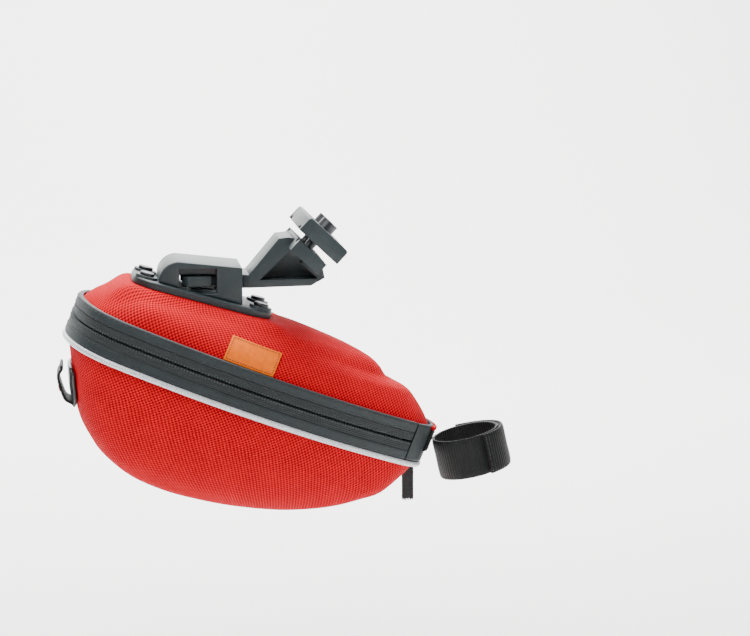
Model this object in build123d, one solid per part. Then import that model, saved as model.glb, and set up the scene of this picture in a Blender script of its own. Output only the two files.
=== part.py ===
"""Saddle bag with a quick-release bracket for the saddle rails and a strap for the seatpost.

Millimetres. +X forward, +Y left, +Z up. The origin is midway between the two saddle rails at the clamp.
The bag is modelled about its zip plane, nose along +X, and then tilted nose-down into place.
"""

from build123d import *
import math
import os

# Saddle rails and clamp
RAIL_R = 3.5
RAIL_SPACING = 44.0
RAIL_SLOPE = 43.4
PAD_REAR = -9.0
PAD_FRONT = 8.5
PAD_WIDTH = 57.0
PAD_THICKNESS = 6.4
PAD_BELOW_AXIS = 1.45
JAW_OVERHANG = 3.5
JAW_ABOVE_AXIS = 2.05
JAW_THICKNESS = 8.0
RAIL_RELIEF = 0.8

# Clamp bolts and nuts
BOLT_R = 2.5
BOLT_SPACING = 18.0
BOLT_X = -1.0
BOLT_CLEARANCE = 0.3
BOLT_HEAD_R = 4.25
BOLT_HEAD_HEIGHT = 4.5
BOLT_SOCKET_FLATS = 4.0
NUT_FLATS = 8.0
NUT_HEIGHT = 3.8
NUT_BORE_CLEARANCE = 0.08

# Bracket arm
ARM_WIDTH = 26.0
WEB_THICKNESS = 6.0
ARM_PROFILE = [(-31.0, -19.4), (-30.6, -13.0), (-16.2, 4.2), (-11.7, 4.7), (-8.5, 4.2),
               (4.4, -8.2), (5.8, -15.1), (-0.9, -18.8)]
POCKET_PROFILE = [(-11.8, -2.4), (-25.6, -15.8), (2.4, -15.4)]

# Tongue and latch prongs
TONGUE_TOP = -13.1
TONGUE_BOTTOM = -19.4
TONGUE_WIDTH = 25.8
TONGUE_ROOT = -35.0
TONGUE_TIP = -61.5
TONGUE_BAR_WIDTH = 6.4
TONGUE_BAR_BOTTOM = -18.3
PRONG_PIVOT_X = -36.6
PRONG_PIVOT_Y = 9.2
PRONG_THICKNESS = 2.5
PRONG_TOP = -13.2
PRONG_BOTTOM = -18.2
PRONG_TIP = -62.5
LUG_FRONT = -48.5
LUG_PROUD_FRONT = 4.3
LUG_PROUD_REAR = 5.8

# Receiver on the bag
RECEIVER_WIDTH = 36.0
RECEIVER_FRONT = -34.1
RECEIVER_REAR = -73.8
RECEIVER_CREST = -64.7
RECEIVER_TOP_FRONT = -9.0
RECEIVER_TOP_REAR = -5.6
CHANNEL_CLEARANCE = 0.35
CHANNEL_END = -66.0
WINDOW_REAR = -64.0
WINDOW_FRONT = -46.3
WINDOW_TOP = -9.4
WINDOW_BOTTOM = -21.2

# Mount plate, screws and backing plate
PLATE_X = -52.4
PLATE_Z = -21.7
PLATE_SLOPE = 16.1
PLATE_LENGTH = 69.0
PLATE_WIDTH = 42.0
PLATE_THICKNESS = 3.4
PLATE_CORNER_R = 12.0
BOSS_R = 5.5
BOSS_HEIGHT = 1.2
SCREW_X = 28.3
SCREW_Y = 11.5
SCREW_R = 2.0
SCREW_HEAD_R = 3.6
SCREW_HEAD_HEIGHT = 1.6
SCREW_CLEARANCE = 0.2
BACKING_DEPTH = 12.2
BACKING_THICKNESS = 2.5
BACKING_LENGTH = 66.0
BACKING_WIDTH = 32.0

# Bag placement and outline
BAG_X = -29.1
BAG_Z = -64.9
BAG_TILT = 21.5
BAG_REAR = -92.5
BAG_FRONT = 93.0
HALF_WIDTH = 50.0
WIDEST_AT = 0.38
REAR_ROUND = 1.4
CORNER_ROUND = 0.6
NOSE_ROUND = 0.48

# Band, zip and piping, all measured from the zip plane
BAND_HALF_HEIGHT = 9.5
TAPE_HEIGHT = 4.5
BAND_WALL = 2.4
TAPE_WALL = 1.8
SLIT_HALF = 0.6
COIL_OUTER = 2.6
COIL_INNER = 4.4
COIL_HEIGHT = 2.4
RIM_INSET = 2.8
RIM_HEIGHT = 3.0
SHELL_WALL = 3.0
LINING_GAP = 0.1
LINING_WALL = 0.9
PIPING_HEIGHT = 3.2
PIPING_PROUD = 0.4
PIPING_WALL = 1.6
NOSE_JOIN = 82.0
NOSE_GAP = 0.3

# Shell levels: height above or below the zip plane, rear end, front end, half width
UPPER_RIM_END = 10.0
LOWER_RIM_END = -13.2
UPPER_LEVELS = [(15.0, -84.6, 82.5, 0.89 * HALF_WIDTH), (21.0, -76.6, 75.5, 0.78 * HALF_WIDTH),
                (24.0, -54.0, 62.0, 0.70 * HALF_WIDTH), (27.5, -36.0, 57.0, 0.58 * HALF_WIDTH),
                (29.5, -11.8, 51.0, 0.46 * HALF_WIDTH), (32.6, 4.0, 28.0, 0.22 * HALF_WIDTH)]
LOWER_LEVELS = [(-20.5, -85.4, 86.5, 0.928 * HALF_WIDTH), (-31.0, -79.8, 80.2, 0.89 * HALF_WIDTH),
                (-38.0, -75.5, 72.0, 0.84 * HALF_WIDTH), (-46.0, -71.2, 59.5, 0.77 * HALF_WIDTH),
                (-53.5, -62.9, 43.5, 0.66 * HALF_WIDTH), (-58.5, -55.6, 28.0, 0.54 * HALF_WIDTH),
                (-62.0, -46.5, 13.5, 0.43 * HALF_WIDTH), (-64.4, -38.0, 2.0, 0.31 * HALF_WIDTH),
                (-65.5, -34.0, -6.0, 0.23 * HALF_WIDTH)]

# Label on the right side of the upper shell
LABEL_LENGTH = 25.0
LABEL_HEIGHT = 12.0
LABEL_WALL = 0.6
LABEL_X = -9.0
LABEL_Z = 15.0
LABEL_LEAN = 36.0
LABEL_YAW = 5.4
LABEL_GAP = 0.35

# Zip slider, puller and ribbon
SLIDER_X = 74.4
SLIDER_LENGTH = 11.0
SLIDER_HEIGHT = 7.2
SLIDER_GAP = 0.35
SLIDER_PLATE = 1.8
SLIDER_FIN = 0.6
SLIDER_INNER_GAP = 0.4
SLIDER_INNER_PLATE = 1.4
BAIL_X = 3.5
BAIL_SIZE = 2.9
BAIL_HEIGHT = 3.2
TAB_PIN_R = 0.7
TAB_PIN_CLEARANCE = 0.06
TAB_EAR_GAP = 0.3
TAB_EAR = 1.0
TAB_THICKNESS = 1.2
TAB_END = 14.0
TAB_HALF_HEIGHT = 3.5
TAB_WINDOW_START = 4.2
TAB_BAR = 1.4
RIBBON_WIDTH = 6.0
RIBBON_WALL = 0.7
RIBBON_GAP = 0.45
RIBBON_LENGTH = 34.0
RIBBON_LOOP_DEPTH = 5.5

# Seatpost strap and its anchor at the nose
POST_R = 15.45
POST_REAR_X = 63.15
POST_X = POST_REAR_X + POST_R
POST_Z = -104.0
POST_LEAN = 13.1
STRAP_HEIGHT = 20.0
STRAP_WALL = 1.4
STRAP_TAIL_START = -70.0
STRAP_TAIL_ARC = 165.0
HOOK_TAPE_WALL = 0.8
STRAP_TAIL_GAP = 0.1
ANCHOR_WIDTH = 22.0
ANCHOR_WALL = 1.1
ANCHOR_LOW = -3.5
ANCHOR_HIGH = 8.5
ANCHOR_GAP = 0.15

# Rear light loop
LOOP_X = -79.4
LOOP_Z = -31.4
LOOP_SLOPE = 51.8
LOOP_LENGTH = 21.0
LOOP_PATCH_WIDTH = 30.0
LOOP_WIDTH = 20.0
LOOP_PATCH_WALL = 1.2
LOOP_WALL = 1.4
LOOP_DEPTH = 3.2
LOOP_GAP = 1.5

CLAMP = Rot(0, RAIL_SLOPE, 0)
BAG = Pos(BAG_X, 0, BAG_Z) * Rot(0, BAG_TILT, 0)
PLATE = Pos(PLATE_X, 0, PLATE_Z) * Rot(0, PLATE_SLOPE, 0)
POST = Pos(POST_X, 0, POST_Z) * Rot(0, -POST_LEAN, 0)


def block(x, y, z):
    """Box from a low and a high value along each axis."""
    size = (x[1] - x[0], y[1] - y[0], z[1] - z[0])
    return Pos(sum(x) / 2, sum(y) / 2, sum(z) / 2) * Box(*size)


def side_plate(points, width):
    """Solid of a side profile, given as (x, z) points, centred on the middle plane."""
    face = make_face(Polyline(*[(x, 0, z) for x, z in points], close=True))
    return extrude(face, width / 2, both=True)


# ---- bracket ----


def rail_grooves(start, end, radius):
    """Two cylinders on the rails' axes, in the clamp's frame."""
    tube = Rot(0, 90, 0) * Cylinder(radius, end - start)
    middle = (start + end) / 2
    return [Pos(middle, side * RAIL_SPACING / 2, 0) * tube for side in (-1, 1)]


def bolt_places():
    """Places of the two clamp bolts, in the clamp's frame."""
    return [Pos(BOLT_X, side * BOLT_SPACING / 2, 0) for side in (-1, 1)]


def hexagon(flats, low, high):
    """Upright hexagonal prism, given its size across the flats."""
    return Pos(0, 0, low) * extrude(RegularPolygon(flats / math.sqrt(3), 6), high - low)


def bracket_arm():
    """Rail pad, ribbed arm and the tongue that the receiver slides on."""
    pad_bottom = -PAD_BELOW_AXIS - PAD_THICKNESS
    half = PAD_WIDTH / 2
    pad = CLAMP * block((PAD_REAR, PAD_FRONT), (-half, half), (pad_bottom, -PAD_BELOW_AXIS))
    arm = side_plate(ARM_PROFILE, ARM_WIDTH)
    pocket = side_plate(POCKET_PROFILE, ARM_WIDTH + 1)
    web = side_plate(POCKET_PROFILE, WEB_THICKNESS)
    arm = arm - (pocket - web)
    above = CLAMP * block((PAD_REAR - 9, PAD_FRONT + 9), (-half, half), (-PAD_BELOW_AXIS, 12))
    arm = arm - above + pad
    for groove in rail_grooves(PAD_REAR - 1, PAD_FRONT + 1, RAIL_R):
        arm -= CLAMP * groove
    for place in bolt_places():
        arm -= CLAMP * place * Cylinder(BOLT_R + BOLT_CLEARANCE, 60)
        recess = hexagon(NUT_FLATS + 0.2, pad_bottom - 6, pad_bottom + NUT_HEIGHT + 0.1)
        arm -= CLAMP * place * recess
    width = TONGUE_WIDTH / 2
    root = block((TONGUE_ROOT, -29), (-width, width), (TONGUE_BOTTOM, TONGUE_TOP))
    bar_half = TONGUE_BAR_WIDTH / 2
    bar = block((TONGUE_TIP, TONGUE_ROOT + 1), (-bar_half, bar_half), (TONGUE_BAR_BOTTOM, TONGUE_TOP))
    return arm + root + bar


def clamp_plate():
    """Upper jaw: a plate with two grooves that bear on the rails along the pad's length."""
    half = PAD_WIDTH / 2
    rear = PAD_REAR - JAW_OVERHANG
    front = PAD_FRONT + JAW_OVERHANG
    top = JAW_ABOVE_AXIS + JAW_THICKNESS
    jaw = block((rear, front), (-half, half), (JAW_ABOVE_AXIS, top))
    jaw = fillet(jaw.edges().filter_by(Axis.Y).group_by(Axis.Z)[-1], 1.5)
    for start, end, radius in ((PAD_REAR, PAD_FRONT, RAIL_R),
                               (rear - 1, PAD_REAR, RAIL_R + RAIL_RELIEF),
                               (PAD_FRONT, front + 1, RAIL_R + RAIL_RELIEF)):
        for groove in rail_grooves(start, end, radius):
            jaw -= groove
    for place in bolt_places():
        jaw -= place * Cylinder(BOLT_R + BOLT_CLEARANCE, 60)
    return CLAMP * jaw


def clamp_bolts():
    """Two socket-head bolts through the jaw and the pad."""
    top = JAW_ABOVE_AXIS + JAW_THICKNESS
    end = -PAD_BELOW_AXIS - PAD_THICKNESS
    bolts = []
    for place in bolt_places():
        shank = Pos(0, 0, (top + end) / 2) * Cylinder(BOLT_R, top - end)
        head = Pos(0, 0, top + BOLT_HEAD_HEIGHT / 2) * Cylinder(BOLT_HEAD_R, BOLT_HEAD_HEIGHT)
        socket = hexagon(BOLT_SOCKET_FLATS, top + BOLT_HEAD_HEIGHT / 2, top + BOLT_HEAD_HEIGHT + 1)
        bolts.append(CLAMP * place * (shank + head - socket))
    return Compound(children=bolts)


def clamp_nuts():
    """Two hexagonal nuts in the pad's recesses."""
    low = -PAD_BELOW_AXIS - PAD_THICKNESS
    nuts = []
    for place in bolt_places():
        nut = hexagon(NUT_FLATS, low, low + NUT_HEIGHT)
        bore = Cylinder(BOLT_R + NUT_BORE_CLEARANCE, 60)
        nuts.append(CLAMP * place * (nut - bore))
    return Compound(children=nuts)


def prong(side):
    """Latch prong: a round root, a springy arm and a lug with a square catch face."""
    inner = PRONG_PIVOT_Y - PRONG_THICKNESS / 2
    outer = inner + PRONG_THICKNESS
    root = Pos(PRONG_PIVOT_X, PRONG_PIVOT_Y, 0) * Circle(PRONG_THICKNESS / 2)
    arm = make_face(Polyline((PRONG_PIVOT_X, inner), (PRONG_TIP, inner), (PRONG_TIP, outer),
                             (PRONG_PIVOT_X, outer), close=True))
    lug = make_face(Polyline((LUG_FRONT, outer - 0.5), (LUG_FRONT, outer + LUG_PROUD_FRONT),
                             (PRONG_TIP + 2.5, outer + LUG_PROUD_REAR),
                             (PRONG_TIP, outer + LUG_PROUD_REAR - 2.3),
                             (PRONG_TIP, outer - 0.5), close=True))
    solid = Pos(0, 0, PRONG_BOTTOM) * extrude(root + arm + lug, PRONG_TOP - PRONG_BOTTOM)
    return solid if side > 0 else mirror(solid, Plane.XZ)


# ---- mount on the bag ----


def screw_places():
    """Places of the four plate screws, in the plate's frame."""
    return [Pos(x, y, 0) for x in (-SCREW_X, SCREW_X) for y in (-SCREW_Y, SCREW_Y)]


def screw_holes(low):
    """Four upright clearance cylinders, in the bracket's frame."""
    tool = Pos(0, 0, low / 2) * Cylinder(SCREW_R + SCREW_CLEARANCE, abs(low) + 8)
    return [PLATE * place * tool for place in screw_places()]


def mount_plate():
    """Base plate with rounded ends and a raised boss for each screw."""
    plate = extrude(RectangleRounded(PLATE_LENGTH, PLATE_WIDTH, PLATE_CORNER_R), -PLATE_THICKNESS)
    plate = fillet(plate.edges().group_by(Axis.Z)[-1], 1.0)
    for place in screw_places():
        plate += place * Pos(0, 0, BOSS_HEIGHT / 2 - 0.5) * Cylinder(BOSS_R, BOSS_HEIGHT + 1)
    plate = PLATE * plate
    for hole in screw_holes(-PLATE_THICKNESS - 4):
        plate -= hole
    return plate


def receiver():
    """Housing on the plate: channel for the tongue, and a window in each side for a prong."""
    slope = math.tan(math.radians(PLATE_SLOPE))
    bottom_front = PLATE_Z - (RECEIVER_FRONT - PLATE_X) * slope + 0.1
    bottom_rear = PLATE_Z - (RECEIVER_REAR - PLATE_X) * slope + 0.1
    crest = (RECEIVER_CREST, 0, RECEIVER_TOP_REAR)
    shoulder = (RECEIVER_REAR + 2.3, 0, RECEIVER_TOP_REAR - 3.4)
    base = (RECEIVER_REAR, 0, bottom_rear)
    front_top = (RECEIVER_FRONT, 0, RECEIVER_TOP_FRONT)
    front_bottom = (RECEIVER_FRONT, 0, bottom_front)
    outline = [ThreePointArc(base, shoulder, crest), Line(crest, front_top),
               Line(front_top, front_bottom), Line(front_bottom, base)]
    half = RECEIVER_WIDTH / 2
    body = extrude(make_face(outline), half, both=True)
    wall = TONGUE_WIDTH / 2 + CHANNEL_CLEARANCE
    body -= block((CHANNEL_END, RECEIVER_FRONT + 1), (-wall, wall),
                  (TONGUE_BOTTOM - CHANNEL_CLEARANCE, TONGUE_TOP + CHANNEL_CLEARANCE))
    for side in (-1, 1):
        sides = sorted((side * (wall - 0.01), side * (half + 1)))
        body -= block((WINDOW_REAR, WINDOW_FRONT), sides, (WINDOW_BOTTOM, WINDOW_TOP))
    return body


def backing_plate():
    """Plate inside the upper shell, with four tapped holes."""
    plate = extrude(RectangleRounded(BACKING_LENGTH, BACKING_WIDTH, 6.0), -BACKING_THICKNESS)
    for place in screw_places():
        plate -= place * Cylinder(SCREW_R + 0.05, 20)
    return PLATE * Pos(0, 0, -BACKING_DEPTH) * plate


def plate_screws():
    """Four pan-head screws from the bosses into the backing plate."""
    end = -BACKING_DEPTH - BACKING_THICKNESS
    shank = Pos(0, 0, (BOSS_HEIGHT + end) / 2) * Cylinder(SCREW_R, BOSS_HEIGHT - end)
    head = Pos(0, 0, BOSS_HEIGHT + SCREW_HEAD_HEIGHT / 2) * Cylinder(SCREW_HEAD_R, SCREW_HEAD_HEIGHT)
    head = fillet(head.edges().group_by(Axis.Z)[-1], 0.7)
    return Compound(children=[PLATE * place * (shank + head) for place in screw_places()])


# ---- bag outline ----


def outline_centres(rear, front, half_width):
    """Centres and radii of the outline's nose, side, corner and tail arcs, on the left side."""
    nose_r = NOSE_ROUND * half_width
    tail_r = REAR_ROUND * half_width
    corner_r = CORNER_ROUND * half_width
    nose = Vector(front - nose_r, 0)
    tail = Vector(rear + tail_r, 0)
    widest = rear + WIDEST_AT * (front - rear)
    reach = nose.X - widest
    side_r = (reach**2 + half_width**2 - nose_r**2) / (2 * (half_width - nose_r))
    side = Vector(widest, half_width - side_r)
    # the corner's centre is at known distances from the tail's and the side's centres
    to_tail = tail_r - corner_r
    to_side = side_r - corner_r
    apart = (side - tail).length
    along = (to_tail**2 - to_side**2 + apart**2) / (2 * apart)
    off = math.sqrt(to_tail**2 - along**2)
    way = (side - tail) / apart
    corner = tail + way * along + Vector(way.Y, -way.X) * off
    return (nose, nose_r), (side, side_r), (corner, corner_r), (tail, tail_r)


def direction(start, end):
    """Angle in degrees of the line from start to end, from 0 to 360."""
    return math.degrees(math.atan2(end.Y - start.Y, end.X - start.X)) % 360


def outline_face(rear, front, half_width, inset=0.0):
    """Flat face inside the outline of tangent arcs, moved in by inset."""
    nose, side, corner, tail = outline_centres(rear, front, half_width)
    at_nose = direction(side[0], nose[0])
    at_side = direction(side[0], corner[0])
    at_corner = direction(tail[0], corner[0])
    right_corner, right_side = (Vector(place.X, -place.Y) for place in (corner[0], side[0]))
    arcs = [(nose[0], nose[1], -at_nose, at_nose), (side[0], side[1], at_nose, at_side),
            (corner[0], corner[1], at_side, at_corner), (tail[0], tail[1], at_corner, 360 - at_corner),
            (right_corner, corner[1], 360 - at_corner, 360 - at_side),
            (right_side, side[1], 360 - at_side, 360 - at_nose)]
    return make_face([CenterArc(centre, radius - inset, start, end - start)
                      for centre, radius, start, end in arcs])


def ring(outer, inner, low, high):
    """Upright band that follows the bag's outline between two insets and two heights."""
    faces = outline_face(BAG_REAR, BAG_FRONT, HALF_WIDTH, outer)
    hole = outline_face(BAG_REAR, BAG_FRONT, HALF_WIDTH, inner)
    return Pos(0, 0, low) * (extrude(faces, high - low) - extrude(hole, high - low))


def nose_box(start, low=-40, high=40):
    """Block that holds everything ahead of start."""
    return block((start, BAG_FRONT + 20), (-60, 60), (low, high))


def dome(levels, rim_end, inset):
    """Closed solid from the rim, which keeps to the band's outline, through the levels."""
    peak = abs(levels[-1][0])
    rim = (BAG_REAR, BAG_FRONT, HALF_WIDTH)
    sign = math.copysign(1, rim_end)
    faces = [Pos(0, 0, height) * outline_face(*rim, RIM_INSET + inset)
             for height in (sign * RIM_HEIGHT / 2, rim_end)]
    for height, rear, front, half_width in levels:
        level = height * (1 - inset / peak)
        faces.append(Pos(0, 0, level) * outline_face(rear, front, half_width, inset))
    return loft(faces, ruled=True)


def shell(levels, rim_end, outer, wall):
    """One shell or lining: a dome with its inside taken out, open at the zip plane."""
    sign = math.copysign(1, rim_end)
    heights = sorted((sign * RIM_HEIGHT, levels[-1][0] + sign))
    slab = block((BAG_REAR, BAG_FRONT), (-HALF_WIDTH, HALF_WIDTH), heights)
    return (dome(levels, rim_end, outer) - dome(levels, rim_end, outer + wall)) & slab


def bag_shell(levels, rim_end):
    """Moulded shell; the upper one has four screw holes."""
    solid = BAG * shell(levels, rim_end, 0, SHELL_WALL)
    if rim_end > 0:
        for hole in screw_holes(-30):
            solid -= hole
    return solid


def bag_lining(levels, rim_end):
    """Textile lining just inside the shell."""
    solid = BAG * shell(levels, rim_end, SHELL_WALL + LINING_GAP, LINING_WALL)
    if rim_end > 0:
        for hole in screw_holes(-30):
            solid -= hole
    return solid


# ---- band, zip and piping ----


def split_band(sign, outer, inner, near, far):
    """Band between two heights on one side of the zip plane, ending where the nose fabric starts."""
    low, high = sorted((sign * near, sign * far))
    return BAG * (ring(outer, inner, low, high) - nose_box(NOSE_JOIN - NOSE_GAP))


def binding(sign):
    """Plain part of the band, next to the shell."""
    return split_band(sign, 0, BAND_WALL, TAPE_HEIGHT, BAND_HALF_HEIGHT)


def zip_tape(sign):
    """Ribbed tape between the binding and the zip's slit."""
    return split_band(sign, 0, TAPE_WALL, SLIT_HALF, TAPE_HEIGHT)


def zip_coil(sign):
    """Coil row behind the tape's edge."""
    return split_band(sign, COIL_OUTER, COIL_INNER, SLIT_HALF, COIL_HEIGHT)


def hinge_fabric():
    """Unslit part of the band round the nose, which folds when the bag opens."""
    band = ring(0, TAPE_WALL, -BAND_HALF_HEIGHT, BAND_HALF_HEIGHT)
    return BAG * (band & nose_box(NOSE_JOIN))


def piping():
    """Reflective strip round the lower shell, under the band."""
    top = -BAND_HALF_HEIGHT - 0.1
    return BAG * ring(-PIPING_PROUD, PIPING_WALL, top - PIPING_HEIGHT, top)


def label():
    """Woven label that leans with the upper shell's right side."""
    level = [level for level in UPPER_LEVELS if level[0] == LABEL_Z][0]
    side = outline_centres(*level[1:])[1]
    drop = side[1] - math.sqrt(side[1]**2 - (LABEL_X - side[0].X)**2)
    patch = Pos(0, -LABEL_GAP - LABEL_WALL / 2, 0) * Box(LABEL_LENGTH, LABEL_WALL, LABEL_HEIGHT)
    place = Pos(LABEL_X, -(level[3] - drop), LABEL_Z)
    return BAG * place * Rot(0, 0, LABEL_YAW) * Rot(-LABEL_LEAN, 0, 0) * patch


# ---- zip slider, puller and ribbon ----


def slider_frame():
    """Frame on the band's outer face, left side: x forward along the zip, y out, z up."""
    side = outline_centres(BAG_REAR, BAG_FRONT, HALF_WIDTH)[1]
    angle = math.acos((SLIDER_X - side[0].X) / side[1])
    height = side[0].Y + side[1] * math.sin(angle)
    return BAG * Pos(SLIDER_X, height, 0) * Rot(0, 0, math.degrees(angle) - 90)


def tab_frame():
    """Frame at the puller's pivot, with x along the bag's length."""
    side = outline_centres(BAG_REAR, BAG_FRONT, HALF_WIDTH)[1]
    turn = 90 - math.degrees(math.acos((SLIDER_X - side[0].X) / side[1]))
    pivot_y = SLIDER_GAP + SLIDER_PLATE + BAIL_HEIGHT / 2
    return slider_frame() * Pos(BAIL_X, pivot_y, 0) * Rot(0, 0, turn)


def zip_slider():
    """Slider: outer plate with a bail, a thin fin through the slit, and an inner plate."""
    half = SLIDER_LENGTH / 2
    outer_top = SLIDER_GAP + SLIDER_PLATE
    plate = block((-half, half), (SLIDER_GAP, outer_top), (-SLIDER_HEIGHT / 2, SLIDER_HEIGHT / 2))
    plate = fillet(plate.edges().filter_by(Axis.Y), 2.0)
    inner_top = -COIL_INNER - SLIDER_INNER_GAP
    inner_bottom = inner_top - SLIDER_INNER_PLATE
    inner = block((-half + 1, half - 1), (inner_bottom, inner_top), (-COIL_HEIGHT, COIL_HEIGHT))
    fin = block((-2, 2), (inner_bottom, outer_top - 0.5), (-SLIDER_FIN / 2, SLIDER_FIN / 2))
    bail_half = BAIL_SIZE / 2
    bail = block((BAIL_X - bail_half, BAIL_X + bail_half), (outer_top - 0.5, outer_top + BAIL_HEIGHT),
                 (-1.6, 1.6))
    hole = Pos(BAIL_X, outer_top + BAIL_HEIGHT / 2, 0) * Cylinder(TAB_PIN_R + TAB_PIN_CLEARANCE, 10)
    return slider_frame() * (plate + inner + fin + bail - hole)


def pull_tab():
    """Puller: two ears with a pin, and a plate with a window for the ribbon."""
    ear_low = 1.6 + TAB_EAR_GAP
    ear_high = ear_low + TAB_EAR
    half = TAB_THICKNESS / 2
    plate = block((TAB_WINDOW_START - TAB_BAR, TAB_END), (-half, half),
                  (-TAB_HALF_HEIGHT, TAB_HALF_HEIGHT))
    opening = TAB_HALF_HEIGHT - TAB_BAR
    window = block((TAB_WINDOW_START, TAB_END - TAB_BAR), (-2, 2), (-opening, opening))
    tab = fillet(plate.edges().filter_by(Axis.Y), 0.6) - window
    for side in (-1, 1):
        heights = sorted((side * ear_low, side * ear_high))
        tab += block((0, TAB_WINDOW_START - 0.5), (-half, half), heights)
        tab += Pos(0, 0, sum(heights) / 2) * Cylinder(1.1, TAB_EAR)
    return tab_frame() * (tab + Cylinder(TAB_PIN_R, 2 * ear_high))


def pull_ribbon():
    """Ribbon folded over the puller's lower bar, hanging straight down."""
    middle = (TAB_WINDOW_START + TAB_END - TAB_BAR) / 2
    bar_middle = Vector(middle, 0, -TAB_HALF_HEIGHT + TAB_BAR / 2)
    centre = (tab_frame() * Pos(bar_middle)).position
    reach = RIBBON_WIDTH / 2
    sag = reach * math.tan(math.radians(BAG_TILT))
    inner = TAB_THICKNESS / 2 + RIBBON_GAP
    outer = inner + RIBBON_WALL
    top = TAB_BAR / 2 + RIBBON_GAP
    loop_bottom = -RIBBON_LOOP_DEPTH
    outline = [(-reach, top + RIBBON_WALL + sag), (reach, top + RIBBON_WALL - sag),
               (reach, loop_bottom), (-reach, loop_bottom)]
    hollow = [(-reach - 1, top + sag), (reach + 1, top - sag),
              (reach + 1, -TAB_BAR / 2 - 2.5), (-reach - 1, -TAB_BAR / 2 - 2.5)]
    loop = side_plate(outline, 2 * outer) - side_plate(hollow, 2 * inner)
    tail = block((-reach, reach), (-RIBBON_WALL, RIBBON_WALL), (-RIBBON_LENGTH, loop_bottom + 1))
    return Pos(centre) * (loop + tail)


# ---- seatpost strap ----


def band_arc(inner, wall, start, arc, height):
    """Part of a round band about the post's axis, in the post's frame."""
    outer = inner + wall
    end = math.radians(start + arc)
    first = math.radians(start)
    last_x, last_y = math.cos(end), math.sin(end)
    first_x, first_y = math.cos(first), math.sin(first)
    edges = [CenterArc((0, 0), outer, start, arc),
             Line((outer * last_x, outer * last_y), (inner * last_x, inner * last_y)),
             CenterArc((0, 0), inner, start, arc),
             Line((inner * first_x, inner * first_y), (outer * first_x, outer * first_y))]
    return extrude(make_face(edges), height / 2, both=True)


def post_strap():
    """Webbing loop round the seatpost, with an overlapping tail."""
    loop = Cylinder(POST_R + STRAP_WALL, STRAP_HEIGHT) - Cylinder(POST_R, STRAP_HEIGHT)
    tail_inner = POST_R + STRAP_WALL + HOOK_TAPE_WALL + 2 * STRAP_TAIL_GAP
    tail = band_arc(tail_inner, STRAP_WALL, STRAP_TAIL_START, STRAP_TAIL_ARC, STRAP_HEIGHT)
    bridge = band_arc(POST_R + STRAP_WALL / 2, tail_inner - POST_R, STRAP_TAIL_START, 8.0, STRAP_HEIGHT)
    return POST * (loop + tail + bridge)


def strap_hook_tape():
    """Hook-and-loop layer between the loop and its tail."""
    inner = POST_R + STRAP_WALL + STRAP_TAIL_GAP
    start = STRAP_TAIL_START + 10.0
    tape = band_arc(inner, HOOK_TAPE_WALL, start, STRAP_TAIL_ARC - 16.0, STRAP_HEIGHT - 2)
    return POST * tape


def front_anchor():
    """Webbing tab on the nose, which the strap is sewn to."""
    sides = block((NOSE_JOIN, BAG_FRONT + 10), (-ANCHOR_WIDTH / 2, ANCHOR_WIDTH / 2), (-60, 60))
    band = ring(-ANCHOR_GAP - ANCHOR_WALL, -ANCHOR_GAP, ANCHOR_LOW, ANCHOR_HIGH)
    return BAG * (band & sides)


# ---- rear light loop ----


def loop_frame():
    """Frame on the lower shell's rear wall: z outwards, x along the wall's slope."""
    return BAG * Pos(LOOP_X, 0, LOOP_Z) * Rot(0, LOOP_SLOPE, 0) * Rot(0, 180, 0)


def light_loop_patch():
    """Webbing patch sewn to the rear wall."""
    patch = Pos(0, 0, LOOP_GAP + LOOP_PATCH_WALL / 2)
    return loop_frame() * patch * Box(LOOP_LENGTH, LOOP_PATCH_WIDTH, LOOP_PATCH_WALL)


def light_loop():
    """Raised webbing loop for a clip-on rear light, sewn down at its two ends."""
    base = LOOP_GAP + LOOP_PATCH_WALL + 0.05
    half = LOOP_LENGTH / 2
    crown = base + LOOP_DEPTH
    outer = [(-half, base), (-half, base + LOOP_WALL), (-half + 3, crown + LOOP_WALL),
             (half - 3, crown + LOOP_WALL), (half, base + LOOP_WALL), (half, base)]
    inner = [(-half + 3, base - 1), (-half + 3, base + 1), (-half + 4, crown),
             (half - 4, crown), (half - 3, base + 1), (half - 3, base - 1)]
    return loop_frame() * (side_plate(outer, LOOP_WIDTH) - side_plate(inner, LOOP_WIDTH + 1))


NODES = {
    "bracket_arm": bracket_arm,
    "clamp_plate": clamp_plate,
    "clamp_bolts": clamp_bolts,
    "clamp_nuts": clamp_nuts,
    "prong_left": lambda: prong(1),
    "prong_right": lambda: prong(-1),
    "mount_plate": mount_plate,
    "receiver": receiver,
    "plate_screws": plate_screws,
    "backing_plate": backing_plate,
    "upper_shell": lambda: bag_shell(UPPER_LEVELS, UPPER_RIM_END),
    "upper_lining": lambda: bag_lining(UPPER_LEVELS, UPPER_RIM_END),
    "upper_binding": lambda: binding(1),
    "upper_zip_tape": lambda: zip_tape(1),
    "upper_zip_coil": lambda: zip_coil(1),
    "hinge_fabric": hinge_fabric,
    "label": label,
    "front_anchor": front_anchor,
    "post_strap": post_strap,
    "strap_hook_tape": strap_hook_tape,
    "lower_shell": lambda: bag_shell(LOWER_LEVELS, LOWER_RIM_END),
    "lower_lining": lambda: bag_lining(LOWER_LEVELS, LOWER_RIM_END),
    "lower_binding": lambda: binding(-1),
    "lower_zip_tape": lambda: zip_tape(-1),
    "lower_zip_coil": lambda: zip_coil(-1),
    "piping": piping,
    "light_loop_patch": light_loop_patch,
    "light_loop": light_loop,
    "zip_slider": zip_slider,
    "pull_tab": pull_tab,
    "pull_ribbon": pull_ribbon,
}

os.makedirs("parts", exist_ok=True)
for name, make in NODES.items():
    export_step(make(), f"parts/{name}.step")
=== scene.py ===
"""Saddle bag with a quick-release bracket: the looks of every piece, in the CAD model's frame."""

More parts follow.
